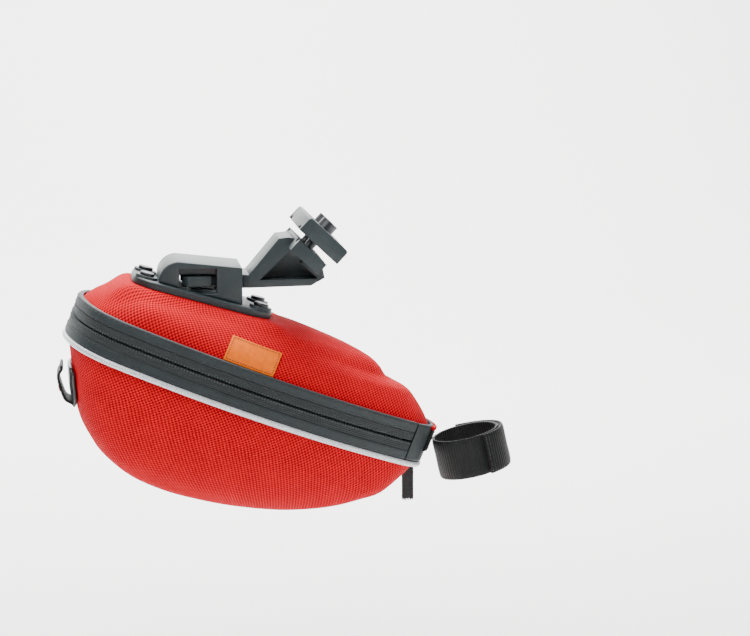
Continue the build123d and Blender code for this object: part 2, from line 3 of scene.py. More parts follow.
import logging
import math
from dataclasses import dataclass
from enum import Enum
from typing import Callable, Sequence

import bmesh
import bpy
import numpy as np
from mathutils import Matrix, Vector


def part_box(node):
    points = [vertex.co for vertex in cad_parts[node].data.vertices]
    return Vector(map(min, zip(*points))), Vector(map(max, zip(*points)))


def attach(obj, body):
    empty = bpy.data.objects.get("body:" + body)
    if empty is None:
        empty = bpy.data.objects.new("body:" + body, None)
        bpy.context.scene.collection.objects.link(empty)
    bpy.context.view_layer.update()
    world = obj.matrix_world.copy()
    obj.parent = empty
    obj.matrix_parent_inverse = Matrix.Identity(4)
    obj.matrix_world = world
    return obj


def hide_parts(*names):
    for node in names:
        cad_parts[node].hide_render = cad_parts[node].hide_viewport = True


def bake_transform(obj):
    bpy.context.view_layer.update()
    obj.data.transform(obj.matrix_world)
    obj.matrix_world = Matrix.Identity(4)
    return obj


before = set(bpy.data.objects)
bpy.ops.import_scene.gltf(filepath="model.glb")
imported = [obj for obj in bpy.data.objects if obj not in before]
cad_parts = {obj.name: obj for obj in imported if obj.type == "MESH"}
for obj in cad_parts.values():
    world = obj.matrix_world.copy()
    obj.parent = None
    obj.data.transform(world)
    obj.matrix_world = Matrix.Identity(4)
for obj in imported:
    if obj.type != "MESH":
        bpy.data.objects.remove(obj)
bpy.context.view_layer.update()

log = logging.getLogger("saddle_bag")

MM = 0.001
SHEEN_ROUGHNESS = 0.4
COAT_ROUGHNESS = 0.2

Point2 = tuple[float, float]
Place = Callable[[float, float], Vector]
Lay = Callable[[float, float], Point2]
Skin = Callable[[float, float], tuple[Vector, Point2]]
Socket = bpy.types.NodeSocket
Looks = tuple[Socket, Socket, Socket, float]


# ---- colours and nodes ----


def linear(hex_colour: str) -> tuple[float, float, float, float]:
    """Turn an sRGB hex colour into linear values.

    Args:
        hex_colour: six hex digits, such as "c81420".

    Returns:
        Linear red, green and blue, and an alpha of one.
    """
    channels = [int(hex_colour[i:i + 2], 16) / 255 for i in (0, 2, 4)]
    values = [c / 12.92 if c <= 0.04045 else ((c + 0.055) / 1.055) ** 2.4 for c in channels]
    return (values[0], values[1], values[2], 1.0)


def add_node(tree: bpy.types.NodeTree, kind: str, inputs: dict | None = None,
             **settings) -> bpy.types.Node:
    """Add a node, set it and feed its sockets.

    Args:
        tree: the material's node tree.
        kind: the node's type name.
        inputs: a value or another node's output for each named or numbered socket.
        settings: the node's own properties.

    Returns:
        The new node.
    """
    made = tree.nodes.new(kind)
    for key, value in settings.items():
        setattr(made, key, value)
    for socket, value in (inputs or {}).items():
        target = made.inputs[socket]
        if isinstance(value, Socket):
            tree.links.new(value, target)
        else:
            target.default_value = value
    return made


class Pattern(Enum):
    """What a pattern is measured on."""

    SURFACE = "UV"
    SOLID = "Object"


@dataclass(frozen=True)
class Finish:
    """A surface finish: its typical values, and the nodes that every finish shares."""

    name: str
    base: str
    roughness: float
    ior: float = 1.5
    metallic: float = 0.0
    sheen: float = 0.0
    coat: float = 0.0
    specular: float = 0.5

    def colour_and_height(self, tree: bpy.types.NodeTree) -> Looks:
        """Give the colour, roughness and height sockets, and the height's depth in metres."""
        raise NotImplementedError

    def build(self) -> bpy.types.Material:
        """Make the material, or return it when it is there already."""
        found = bpy.data.materials.get(self.name)
        if found:
            return found
        material = bpy.data.materials.new(self.name)
        material.use_nodes = True
        tree = material.node_tree
        shader = tree.nodes["Principled BSDF"]
        even = {"IOR": self.ior, "Metallic": self.metallic, "Sheen Weight": self.sheen,
                "Sheen Roughness": SHEEN_ROUGHNESS, "Coat Weight": self.coat,
                "Coat Roughness": COAT_ROUGHNESS, "Specular IOR Level": self.specular}
        for socket, value in even.items():
            shader.inputs[socket].default_value = value
        colour, roughness, height, depth = self.colour_and_height(tree)
        tree.links.new(colour, shader.inputs["Base Color"])
        tree.links.new(roughness, shader.inputs["Roughness"])
        bump = add_node(tree, "ShaderNodeBump", {"Strength": 1.0, "Distance": depth, "Height": height})
        tree.links.new(bump.outputs["Normal"], shader.inputs["Normal"])
        return material

    def coordinates(self, tree: bpy.types.NodeTree, pattern: Pattern) -> Socket:
        """Give the pattern's coordinates, in metres."""
        return add_node(tree, "ShaderNodeTexCoord").outputs[pattern.value]

    def maths(self, tree: bpy.types.NodeTree, operation: str, *values) -> Socket:
        """Combine values or sockets with one arithmetic step."""
        return add_node(tree, "ShaderNodeMath", dict(enumerate(values)), operation=operation).outputs[0]

    def wave(self, tree: bpy.types.NodeTree, distance: Socket, turn: float) -> Socket:
        """Give the sine of a distance times turn."""
        return self.maths(tree, "SINE", self.maths(tree, "MULTIPLY", distance, turn))

    def ramp(self, tree: bpy.types.NodeTree, factor: Socket, stops: Sequence[tuple[float, str]]) -> Socket:
        """Colour a value by stops of place and hex colour."""
        made = add_node(tree, "ShaderNodeValToRGB", {"Fac": factor})
        elements = made.color_ramp.elements
        while len(elements) < len(stops):
            elements.new(0.5)
        for element, (place, colour) in zip(elements, stops):
            element.position = place
            element.color = linear(colour)
        return made.outputs["Color"]

    def noise(self, tree: bpy.types.NodeTree, where: Socket, size_mm: float, detail: float = 3.0) -> Socket:
        """Give a soft random value whose blotches are about size_mm across."""
        made = add_node(tree, "ShaderNodeTexNoise",
                        {"Vector": where, "Scale": 1 / (size_mm * MM), "Detail": detail})
        return made.outputs["Fac"]

    def spread(self, tree: bpy.types.NodeTree, factor: Socket, low: float, high: float) -> Socket:
        """Spread a value of 0 to 1 over a range."""
        return add_node(tree, "ShaderNodeMapRange",
                        {"Value": factor, "To Min": low, "To Max": high}).outputs["Result"]


@dataclass(frozen=True)
class PlainWeave(Finish):
    """Plain-woven cloth: threads cross over and under, so lit dots stand in staggered rows."""

    light: str = "ffffff"
    thread_mm: float = 0.75
    thread_depth_mm: float = 0.12

    def colour_and_height(self, tree: bpy.types.NodeTree) -> Looks:
        """Lay warp and weft along the surface's own length and girth."""
        where = self.coordinates(tree, Pattern.SURFACE)
        split = add_node(tree, "ShaderNodeSeparateXYZ", {"Vector": where})
        turn = math.pi / (self.thread_mm * MM)
        along = self.wave(tree, split.outputs["X"], turn)
        across = self.wave(tree, split.outputs["Y"], turn)
        crossing = self.maths(tree, "MULTIPLY", along, across)
        over = self.maths(tree, "MULTIPLY_ADD", crossing, 0.5, 0.5)
        blotch = self.noise(tree, where, 14.0)
        fleck = self.noise(tree, where, 1.1, 1.0)
        shade = self.maths(tree, "ADD", self.maths(tree, "MULTIPLY", over, 0.72),
                           self.maths(tree, "MULTIPLY", self.maths(tree, "ADD", blotch, fleck), 0.16))
        colour = self.ramp(tree, shade, [(0.3, self.base), (0.68, self.light)])
        roughness = self.spread(tree, over, self.roughness + 0.12, self.roughness)
        return colour, roughness, over, self.thread_depth_mm * MM


@dataclass(frozen=True)
class Webbing(Finish):
    """Woven webbing: fat ribs across the strap, or along it, each made of short stitches of yarn."""

    light: str = "3a3c40"
    rib_mm: float = 1.5
    rib_depth_mm: float = 0.2
    ribs_along: bool = False
    yarns_per_rib: float = 2.6

    def colour_and_height(self, tree: bpy.types.NodeTree) -> Looks:
        """Lay ribs across the strap's length or along it, and yarn along the ribs."""
        where = self.coordinates(tree, Pattern.SURFACE)
        split = add_node(tree, "ShaderNodeSeparateXYZ", {"Vector": where})
        first, second = ("Y", "X") if self.ribs_along else ("X", "Y")
        turn = math.pi / (self.rib_mm * MM)
        rib = self.maths(tree, "ABSOLUTE", self.wave(tree, split.outputs[first], turn))
        yarn = self.wave(tree, split.outputs[second], self.yarns_per_rib * turn)
        height = self.maths(tree, "MULTIPLY_ADD", yarn, 0.14, rib)
        fuzz = self.noise(tree, where, 2.4)
        shade = self.maths(tree, "ADD", self.maths(tree, "MULTIPLY", height, 0.6),
                           self.maths(tree, "MULTIPLY", fuzz, 0.4))
        colour = self.ramp(tree, shade, [(0.2, self.base), (0.9, self.light)])
        roughness = self.spread(tree, fuzz, self.roughness - 0.08, self.roughness + 0.08)
        return colour, roughness, height, self.rib_depth_mm * MM


@dataclass(frozen=True)
class Grained(Finish):
    """Moulded, coated or cast surface: a fine grain, with slow changes of colour and gloss."""

    light: str = "404448"
    grain_mm: float = 0.5
    grain_depth_mm: float = 0.03
    blotch_mm: float = 12.0
    gloss_change: float = 0.1
    pattern: Pattern = Pattern.SOLID

    def colour_and_height(self, tree: bpy.types.NodeTree) -> Looks:
        """Grain from fine noise, colour from slow noise."""
        where = self.coordinates(tree, self.pattern)
        grain = self.noise(tree, where, self.grain_mm, 2.0)
        blotch = self.noise(tree, where, self.blotch_mm)
        shade = self.maths(tree, "ADD", self.maths(tree, "MULTIPLY", grain, 0.45),
                           self.maths(tree, "MULTIPLY", blotch, 0.55))
        colour = self.ramp(tree, shade, [(0.3, self.base), (0.7, self.light)])
        low, high = self.roughness - self.gloss_change, self.roughness + self.gloss_change
        roughness = self.spread(tree, blotch, low, high)
        return colour, roughness, grain, self.grain_depth_mm * MM


@dataclass(frozen=True)
class Beaded(Finish):
    """Retroreflective tape: a layer of tiny glass beads on aluminium, bright and slightly speckled."""

    light: str = "f4f6f8"
    bead_mm: float = 0.45
    bead_depth_mm: float = 0.02

    def colour_and_height(self, tree: bpy.types.NodeTree) -> Looks:
        """Beads as small round cells."""
        where = self.coordinates(tree, Pattern.SOLID)
        cell = add_node(tree, "ShaderNodeTexVoronoi", {"Vector": where, "Scale": 1 / (self.bead_mm * MM)})
        near = cell.outputs["Distance"]
        colour = self.ramp(tree, near, [(0.1, self.light), (0.8, self.base)])
        roughness = self.spread(tree, near, self.roughness, self.roughness + 0.2)
        return colour, roughness, near, self.bead_depth_mm * MM


# Solution-dyed polyester cloth laminated on moulded foam: saturated, matt, each crossing catching light.
# Its threads are about 0.62 mm apart and are drawn at 0.95 mm, so that they show.
RED_WEAVE = PlainWeave("polyester_weave_red", "700009", 0.8, ior=1.45, specular=0.08, light="d20016",
                       thread_mm=0.95, thread_depth_mm=0.26)
# Polyurethane-coated polyester: dull, with a fine leather-like grain that breaks the light.
COATED_BAND = Grained("coated_polyester_slate", "12191b", 0.6, ior=1.45, sheen=0.03, light="232d30",
                      grain_mm=0.55, grain_depth_mm=0.05)
# Knitted zip tape: a hard dark yarn in narrow wales along the zip.
ZIP_TAPE = Webbing("zip_tape_charcoal", "0a0e0f", 0.66, ior=1.45, sheen=0.02, light="1d2527", rib_mm=0.8,
                   rib_depth_mm=0.05, ribs_along=True)
# The same yarn pressed up by the coil behind it: a little glossier, and its colour painted lighter as a
# highlight on the ridges.
ZIP_TAPE_RIDGE_HIGHLIGHT = Grained("zip_tape_ridge_painted_highlight", "1c2325", 0.4, light="3a4447", grain_mm=0.3,
                        grain_depth_mm=0.02)
# Extruded polyamide filament: smooth and half glossy.
COIL_NYLON = Grained("polyamide_coil_black", "0e0f11", 0.35, ior=1.53, light="1c1d20", grain_mm=0.3,
                     grain_depth_mm=0.004)
# Glass-bead tape: silver-white, speckled close up.
REFLECTIVE = Beaded("retroreflective_tape_silver", "a9adb2", 0.34, metallic=0.35)
# Brushed knit lining: soft grey with a nap.
LINING_KNIT = PlainWeave("tricot_lining_grey", "56585c", 0.85, sheen=0.3, light="7c7f84",
                         thread_mm=0.9, thread_depth_mm=0.08)
# Damask-woven label in polyester satin: bright, with a fine silky rib.
LABEL_SATIN = Webbing("satin_label_orange", "b83c00", 0.6, ior=1.45, specular=0.12, light="ff8000",
                      rib_mm=0.5, rib_depth_mm=0.05)
# Polyester sewing thread: twisted, slightly glossy.
THREAD_DARK = Grained("sewing_thread_black", "0b0f10", 0.6, light="181e20", grain_mm=0.25,
                      grain_depth_mm=0.03)
THREAD_BROWN = Grained("sewing_thread_rust", "4a1600", 0.55, light="6e2600", grain_mm=0.25,
                       grain_depth_mm=0.03)
# Polypropylene webbing: black and slightly greasy, with ribs across.
WEBBING_BLACK = Webbing("polypropylene_webbing_black", "030404", 0.6, ior=1.45, specular=0.3,
                        light="101213")
# Grosgrain ribbon: fine cross ribs.
RIBBON_BLACK = Webbing("grosgrain_ribbon_black", "050606", 0.62, ior=1.45, sheen=0.03, light="17191b",
                       rib_mm=0.8, rib_depth_mm=0.1)
# Hook-and-loop tape: a deep dull pile.
HOOK_PILE = Grained("hook_and_loop_black", "060607", 0.95, sheen=0.2, light="1a1b1d", grain_mm=0.7,
                    grain_depth_mm=0.3)
# Glass-filled nylon 6, spark-eroded mould: slate grey with a fine even grain.
NYLON_SLATE = Grained("glass_filled_nylon_slate", "1d2628", 0.48, light="2b3639", grain_mm=0.45,
                      grain_depth_mm=0.035, blotch_mm=18.0, gloss_change=0.08)
# Zinc-plated and blackened steel: a satin, nearly black metal.
STEEL_BLACK = Grained("blackened_steel", "3a3b3d", 0.38, metallic=1.0, light="55575a", grain_mm=0.4,
                      grain_depth_mm=0.008)
# Die-cast zinc with black enamel: glossy, with a slight orange peel.
ENAMELLED_ZINC = Grained("enamelled_zinc_black", "0b0c0d", 0.22, coat=0.6, light="151618", grain_mm=1.4,
                         grain_depth_mm=0.012, gloss_change=0.05)
# Glossy polyurethane patch: the smooth reinforcement behind the light loop.
PATCH_GLOSS = Grained("polyurethane_patch_black", "101113", 0.3, coat=0.3, light="1e2023", grain_mm=0.9,
                      grain_depth_mm=0.04)
# Uncoated paper backdrop: pale and even, with a faint tooth.
STUDIO_PAPER = Grained("studio_paper_pale", "f0f0ef", 0.9, ior=1.45, light="f6f6f5", grain_mm=1.6,
                       grain_depth_mm=0.02, blotch_mm=400.0, gloss_change=0.02)


# ---- mesh tools ----

WELD_GAP = 0.01 * MM
CAD_WELD_GAP = 0.02 * MM
CAD_FLAT_ANGLE = math.radians(0.5)
CAD_CORNER_ANGLE = math.radians(32)
SHEET_CORNER_ANGLE = 0.9
SOFT_EDGE_MM = 0.3


def take_none() -> None:
    """Leave object mode's selection empty."""
    bpy.ops.object.select_all(action="DESELECT")


def take(piece: bpy.types.Object) -> None:
    """Make one object the only selected and the active one."""
    take_none()
    piece.select_set(True)
    bpy.context.view_layer.objects.active = piece


def apply_modifier(piece: bpy.types.Object, kind: str, **settings) -> None:
    """Add a modifier with its settings and apply it."""
    take(piece)
    made = piece.modifiers.new(kind.lower(), kind)
    for key, value in settings.items():
        setattr(made, key, value)
    bpy.ops.object.modifier_apply(modifier=made.name)


def in_edit(piece: bpy.types.Object, *steps: Callable[[], object]) -> None:
    """Run edit-mode operators on all of a piece."""
    take(piece)
    bpy.ops.object.mode_set(mode="EDIT")
    bpy.ops.mesh.select_all(action="SELECT")
    for step in steps:
        step()
    bpy.ops.object.mode_set(mode="OBJECT")


def finish_piece(piece: bpy.types.Object, name: str, finish: Finish, body: str | None,
                 replaced: Sequence[str] = (),
                 smooth: float = 40.0) -> bpy.types.Object:
    """Name, place, dress and hang a finished piece.

    Args:
        piece: the object.
        name: its plain name.
        finish: its finish.
        body: the CAD body it rides on, or None for a piece that rides on no body.
        replaced: the CAD nodes that it stands for.
        smooth: the angle in degrees under which faces are shaded smooth.

    Returns:
        The same object.
    """
    take(piece)
    bpy.ops.object.transform_apply(location=True, rotation=True, scale=True)
    bpy.ops.object.shade_smooth_by_angle(angle=math.radians(smooth))
    piece.name = name
    piece.data.name = name
    piece.data.materials.clear()
    piece.data.materials.append(finish.build())
    if body:
        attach(piece, body)
    if replaced:
        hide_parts(*replaced)
    log.info("%s: %d faces", name, len(piece.data.polygons))
    return piece


def grid_piece(columns: int, rows: int, place: Place, lay: Lay) -> bpy.types.Object:
    """Shape a flat grid into a surface.

    Args:
        columns: faces along the first direction.
        rows: faces along the second direction.
        place: the world position, in metres, of a point of the unit square.
        lay: the surface's own length and girth, in metres, of a point of the unit square.

    Returns:
        The new object, with its UV map in metres.
    """
    take_none()
    bpy.ops.mesh.primitive_grid_add(x_subdivisions=columns, y_subdivisions=rows, size=1.0, calc_uvs=True)
    piece = bpy.context.object
    mesh = piece.data
    square = [(vertex.co.x + 0.5, vertex.co.y + 0.5) for vertex in mesh.vertices]
    laid = [lay(*spot) for spot in square]
    layer = mesh.uv_layers.active
    for loop in mesh.loops:
        layer.data[loop.index].uv = laid[loop.vertex_index]
    for vertex, spot in zip(mesh.vertices, square):
        vertex.co = place(*spot)
    mesh.update()
    return piece


def weld(piece: bpy.types.Object) -> None:
    """Merge meeting points, close the open ends and turn the faces outwards."""
    in_edit(piece, lambda: bpy.ops.mesh.remove_doubles(threshold=WELD_GAP),
            lambda: bpy.ops.mesh.fill_holes(sides=0),
            lambda: bpy.ops.mesh.normals_make_consistent(inside=False))


def thicken(piece: bpy.types.Object, wall_mm: float, offset: float, edge_mm: float = SOFT_EDGE_MM) -> None:
    """Give a sheet its thickness and soften its edges.

    Args:
        piece: the sheet.
        wall_mm: its thickness.
        offset: -1 grows it inwards, 0 both ways and 1 outwards.
        edge_mm: how far the softening reaches.
    """
    apply_modifier(piece, "SOLIDIFY", thickness=wall_mm * MM, offset=offset)
    apply_modifier(piece, "BEVEL", width=edge_mm * MM, segments=2, limit_method="ANGLE",
                   angle_limit=SHEET_CORNER_ANGLE)


def softened(node: str, name: str, width_mm: float, finish: Finish, body: str) -> bpy.types.Object:
    """Copy a CAD node, merge it and round its edges, and show the copy instead.

    Args:
        node: the CAD node.
        name: the new piece's name.
        width_mm: how far the rounding reaches.
        finish: the piece's finish.
        body: the body it rides on.

    Returns:
        The new piece.
    """
    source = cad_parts[node]
    take_none()
    piece = source.copy()
    piece.data = source.data.copy()
    bpy.context.collection.objects.link(piece)
    piece.parent = None
    piece.matrix_world = source.matrix_world.copy()
    for key in [key for key in piece.keys() if key.startswith("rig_")]:
        del piece[key]
    in_edit(piece, lambda: bpy.ops.mesh.remove_doubles(threshold=CAD_WELD_GAP),
            lambda: bpy.ops.mesh.tris_convert_to_quads(face_threshold=0.02, shape_threshold=3.1),
            lambda: bpy.ops.mesh.dissolve_limited(angle_limit=CAD_FLAT_ANGLE))
    apply_modifier(piece, "BEVEL", width=width_mm * MM, segments=2, limit_method="ANGLE",
                   angle_limit=CAD_CORNER_ANGLE, harden_normals=False, use_clamp_overlap=True)
    apply_modifier(piece, "TRIANGULATE")
    return finish_piece(piece, name, finish, body, (node,))


def redressed(node: str, finish: Finish) -> None:
    """Give a CAD node a better material in its own slots."""
    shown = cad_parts[node]
    if not shown.data.materials:
        shown.data.materials.append(finish.build())
    for index in range(len(shown.material_slots)):
        shown.material_slots[index].material = finish.build()
    log.info("%s: redressed", node)


# ---- the bag's own geometry, in millimetres: u forward along the zip plane, v left, w up ----


@dataclass(frozen=True)
class BagFrame:
    """Where the bag hangs: the zip plane's origin and its tilt."""

    x: float = -29.1
    z: float = -64.9
    tilt: float = 21.5

    def world(self, u: float, v: float, w: float) -> Vector:
        """Give the world place, in metres, of a place in the bag."""
        c, s = math.cos(math.radians(self.tilt)), math.sin(math.radians(self.tilt))
        return Vector((self.x + u * c + w * s, v, self.z - u * s + w * c)) * MM

    def turn(self, u: float, v: float, w: float) -> Vector:
        """Give a direction of the bag in the world."""
        c, s = math.cos(math.radians(self.tilt)), math.sin(math.radians(self.tilt))
        return Vector((u * c + w * s, v, -u * s + w * c))


BAG = BagFrame()


@dataclass(frozen=True)
class Outline:
    """Egg-shaped outline of the bag at one level, made of tangent arcs.

    Its shape is the band's: a round nose, long bowed sides, rounded rear corners and a shallow tail.
    """

    rear: float
    front: float
    half: float
    widest: float = 0.38
    nose_round: float = 0.48
    corner_round: float = 0.6
    tail_round: float = 1.4

    def half_points(self, count: int = 120) -> list[tuple[float, float, float, float]]:
        """Give places and outward directions from the nose to the tail along the left side."""
        half, length = self.half, self.front - self.rear
        nose_r, tail_r, corner_r = self.nose_round * half, self.tail_round * half, self.corner_round * half
        nose_u, tail_u = self.front - nose_r, self.rear + tail_r
        side_u = self.rear + self.widest * length
        reach = nose_u - side_u
        side_r = (reach ** 2 + half ** 2 - nose_r ** 2) / (2 * (half - nose_r))
        side_v = half - side_r
        first = math.atan2(-side_v, nose_u - side_u)
        gap_side, gap_tail = side_r - corner_r, tail_r - corner_r
        du, dv = tail_u - side_u, -side_v
        apart = math.hypot(du, dv)
        along = (gap_side ** 2 - gap_tail ** 2 + apart ** 2) / (2 * apart)
        off = math.sqrt(max(gap_side ** 2 - along ** 2, 0))
        corners = [(side_u + (along * du - sign * off * dv) / apart,
                    side_v + (along * dv + sign * off * du) / apart) for sign in (-1, 1)]
        corner_u, corner_v = min(corners)
        second = math.atan2(corner_v - side_v, corner_u - side_u)
        third = math.atan2(corner_v, corner_u - tail_u)
        arcs = [(nose_u, 0.0, nose_r, 0.0, first), (side_u, side_v, side_r, first, second),
                (corner_u, corner_v, corner_r, second, third), (tail_u, 0.0, tail_r, third, math.pi)]
        total = sum(r * (end - start) for _, _, r, start, end in arcs)
        spots = []
        for cu, cv, r, start, end in arcs:
            steps = max(3, round(count * r * (end - start) / total))
            for i in range(steps):
                angle = start + (end - start) * i / steps
                c, s = math.cos(angle), math.sin(angle)
                spots.append((cu + r * c, cv + r * s, c, s))
        spots.append((self.rear, 0.0, -1.0, 0.0))
        return spots


class Path:
    """An outline that can be walked by its length, on both sides."""

    def __init__(self, outline: Outline) -> None:
        """Measure the outline."""
        spots = np.array(outline.half_points())
        steps = np.hypot(np.diff(spots[:, 0]), np.diff(spots[:, 1]))
        self.lengths = np.concatenate([[0.0], np.cumsum(steps)])
        self.spots = spots

    @property
    def half_length(self) -> float:
        """Length from nose to tail, in millimetres."""
        return float(self.lengths[-1])

    def at(self, fraction: float) -> tuple[float, float, float, float]:
        """Give place and outward direction.

        Args:
            fraction: 0 is the nose, 1 and -1 the tail, and above 0 the left side; past 1 the run
                comes back along the right side.

        Returns:
            The place's u and v, and the outward direction's.
        """
        if fraction > 1.0:
            fraction -= 2.0
        far = min(abs(fraction), 1.0) * self.half_length
        u, v, nu, nv = (float(np.interp(far, self.lengths, self.spots[:, i])) for i in range(4))
        size = math.hypot(nu, nv) or 1.0
        side = 1.0 if fraction >= 0 else -1.0
        return u, side * v, nu / size, side * nv / size

    def where_u(self, u: float) -> float:
        """Give the fraction at which the side first falls back to u."""
        index = int(np.argmax(self.spots[:, 0] <= u))
        low, high = self.spots[index - 1, 0], self.spots[index, 0]
        share = (low - u) / max(low - high, 1e-9)
        far, step = self.lengths[index - 1], self.lengths[index] - self.lengths[index - 1]
        return float((far + share * step) / self.half_length)


BAND_OUTLINE = Outline(-92.5, 93.0, 50.0)
BAND_PATH = Path(BAND_OUTLINE)


def smooth_line(keys: Sequence[Point2], steps: int = 16) -> np.ndarray:
    """Run a smooth line through keys.

    Args:
        keys: the places to pass.
        steps: pieces between two keys.

    Returns:
        Rows of length so far, first value and second value.
    """
    spots = np.array(keys, float)
    ends = np.vstack([2 * spots[0] - spots[1], spots, 2 * spots[-1] - spots[-2]])
    line = []
    for i in range(1, len(ends) - 2):
        a, b, c, d = ends[i - 1], ends[i], ends[i + 1], ends[i + 2]
        for step in range(steps):
            t = step / steps
            line.append(0.5 * (2 * b + (c - a) * t + (2 * a - 5 * b + 4 * c - d) * t ** 2
                               + (3 * b - a - 3 * c + d) * t ** 3))
    line.append(spots[-1])
    line = np.array(line)
    far = np.concatenate([[0.0], np.cumsum(np.hypot(*np.diff(line, axis=0).T))])
    return np.column_stack([far, line])


def walk(line: np.ndarray, share: float) -> Point2:
    """Give the values of a measured line at a share of its length."""
    far = share * line[-1, 0]
    return float(np.interp(far, line[:, 0], line[:, 1])), float(np.interp(far, line[:, 0], line[:, 2]))


@dataclass(frozen=True)
class Seat:
    """The flat that the mount plate presses into the upper shell."""

    rear: Point2 = (-71.4, 25.0)
    front: Point2 = (-3.1, 31.5)
    half_width: float = 21.0
    soft_edge: float = 11.0
    clearance: float = 0.25

    def press(self, u: float, v: float, w: float) -> float:
        """Give the height of the shell's skin at a place, pressed or lifted to the plate."""
        slope = (self.front[1] - self.rear[1]) / (self.front[0] - self.rear[0])
        under = self.rear[1] + slope * (u - self.rear[0]) - self.clearance
        out_u = max(self.rear[0] - u, u - self.front[0], 0.0)
        out_v = max(abs(v) - self.half_width, 0.0)
        out = math.hypot(out_u, out_v) / self.soft_edge
        if out >= 1.0 or w < 12.0:
            return w
        share = 1.0 - out * out * (3 - 2 * out)
        return w + (under - w) * share


@dataclass
class MouldedShell:
    """One half of the bag: foam moulded with cloth outside and a knit lining inside."""

    name: str
    body: str
    node: str
    lining_node: str
    front: Sequence[Point2]
    rear: Sequence[Point2]
    side: Sequence[Point2]
    upper: bool
    seat: Seat | None = None
    wall: float = 3.0
    lining_gap: float = 0.3
    lining_wall: float = 0.7
    segments: int = 208
    rings: int = 104
    made_skin: Skin | None = None

    @property
    def girth(self) -> float:
        """Length of the cloth from the rim to the crown along the side, in millimetres."""
        return float(smooth_line(self.side)[-1, 0])

    def skin_once(self) -> Skin:
        """Give the skin's function, made once."""
        if self.made_skin is None:
            self.made_skin = self.skin()
        return self.made_skin

    def at_u(self, u: float, share: float) -> Vector:
        """Give the place on the right side at a place along the bag and a share of height."""
        skin = self.skin_once()
        shares = np.linspace(0.12, 0.85, 74)
        places = [skin(-float(each), share)[0] for each in shares]
        fraction = float(np.interp(-u, [-place.x for place in places], shares))
        return skin(-fraction, share)[0]

    def skin(self) -> Skin:
        """Give the function from fraction and share of height to the skin's place and cloth length."""
        lines = [smooth_line(keys) for keys in (self.front, self.side, self.rear)]
        girth = lines[1][-1, 0]
        paths: dict[float, tuple[Path, tuple[float, float, float]]] = {}

        def place(fraction: float, share: float) -> tuple[Vector, Point2]:
            """Give the skin's place in the bag, and the cloth's length and girth there."""
            key = round(share, 5)
            if key not in paths:
                (front, wf), (half, ws), (rear, wr) = (walk(line, min(share, 0.9995)) for line in lines)
                paths[key] = Path(Outline(rear, front, max(half, 0.02))), (wf, ws, wr)
            path, (wf, ws, wr) = paths[key]
            u, v, _, _ = path.at(fraction)
            turn = abs(fraction) * math.pi
            ends = math.cos(turn) ** 2
            w = ws * (1 - ends) + (wf if turn < math.pi / 2 else wr) * ends
            if self.seat:
                w = self.seat.press(u, v, w)
            cloth = ((abs(fraction) - 0.5) * path.half_length * MM, share * girth * MM)
            return Vector((u, v, w)), cloth

        return place

    def blank(self) -> bpy.types.Object:
        """Cut a ball in half and stretch it over the shell's form."""
        take_none()
        bpy.ops.mesh.primitive_uv_sphere_add(segments=self.segments, ring_count=self.rings, radius=1.0)
        piece = bpy.context.object
        normal = (0, 0, 1 if self.upper else -1)
        in_edit(piece, lambda: bpy.ops.mesh.bisect(plane_co=(0, 0, 0), plane_no=normal, clear_inner=True))
        mesh = piece.data
        skin = self.skin()
        cloth = {}
        for vertex in mesh.vertices:
            x, y, z = vertex.co
            flat = math.hypot(x, y)
            share = math.atan2(abs(z), flat) / (math.pi / 2)
            fraction = math.atan2(y, x) / math.pi if flat > 1e-6 else 0.0
            spot, cloth[vertex.index] = skin(fraction, share)
            vertex.co = BAG.world(*spot)
        layer = mesh.uv_layers.active or mesh.uv_layers.new(name="UVMap")
        for loop in mesh.loops:
            layer.data[loop.index].uv = cloth[loop.vertex_index]
        mesh.update()
        return piece

    def build(self) -> None:
        """Build the shell and its lining."""
        shell = self.blank()
        lining = shell.copy()
        lining.data = shell.data.copy()
        bpy.context.collection.objects.link(lining)
        inset = (self.wall + self.lining_gap) * MM
        normals = [vertex.normal.copy() for vertex in lining.data.vertices]
        for vertex, normal in zip(lining.data.vertices, normals):
            vertex.co -= normal * inset
        for piece, wall in ((shell, self.wall), (lining, self.lining_wall)):
            apply_modifier(piece, "SOLIDIFY", thickness=wall * MM, offset=-1.0, use_even_offset=False)
        finish_piece(shell, self.name, RED_WEAVE, self.body, (self.node,), 60)
        finish_piece(lining, self.name.replace("shell", "lining"), LINING_KNIT, self.body,
                     (self.lining_node,), 60)


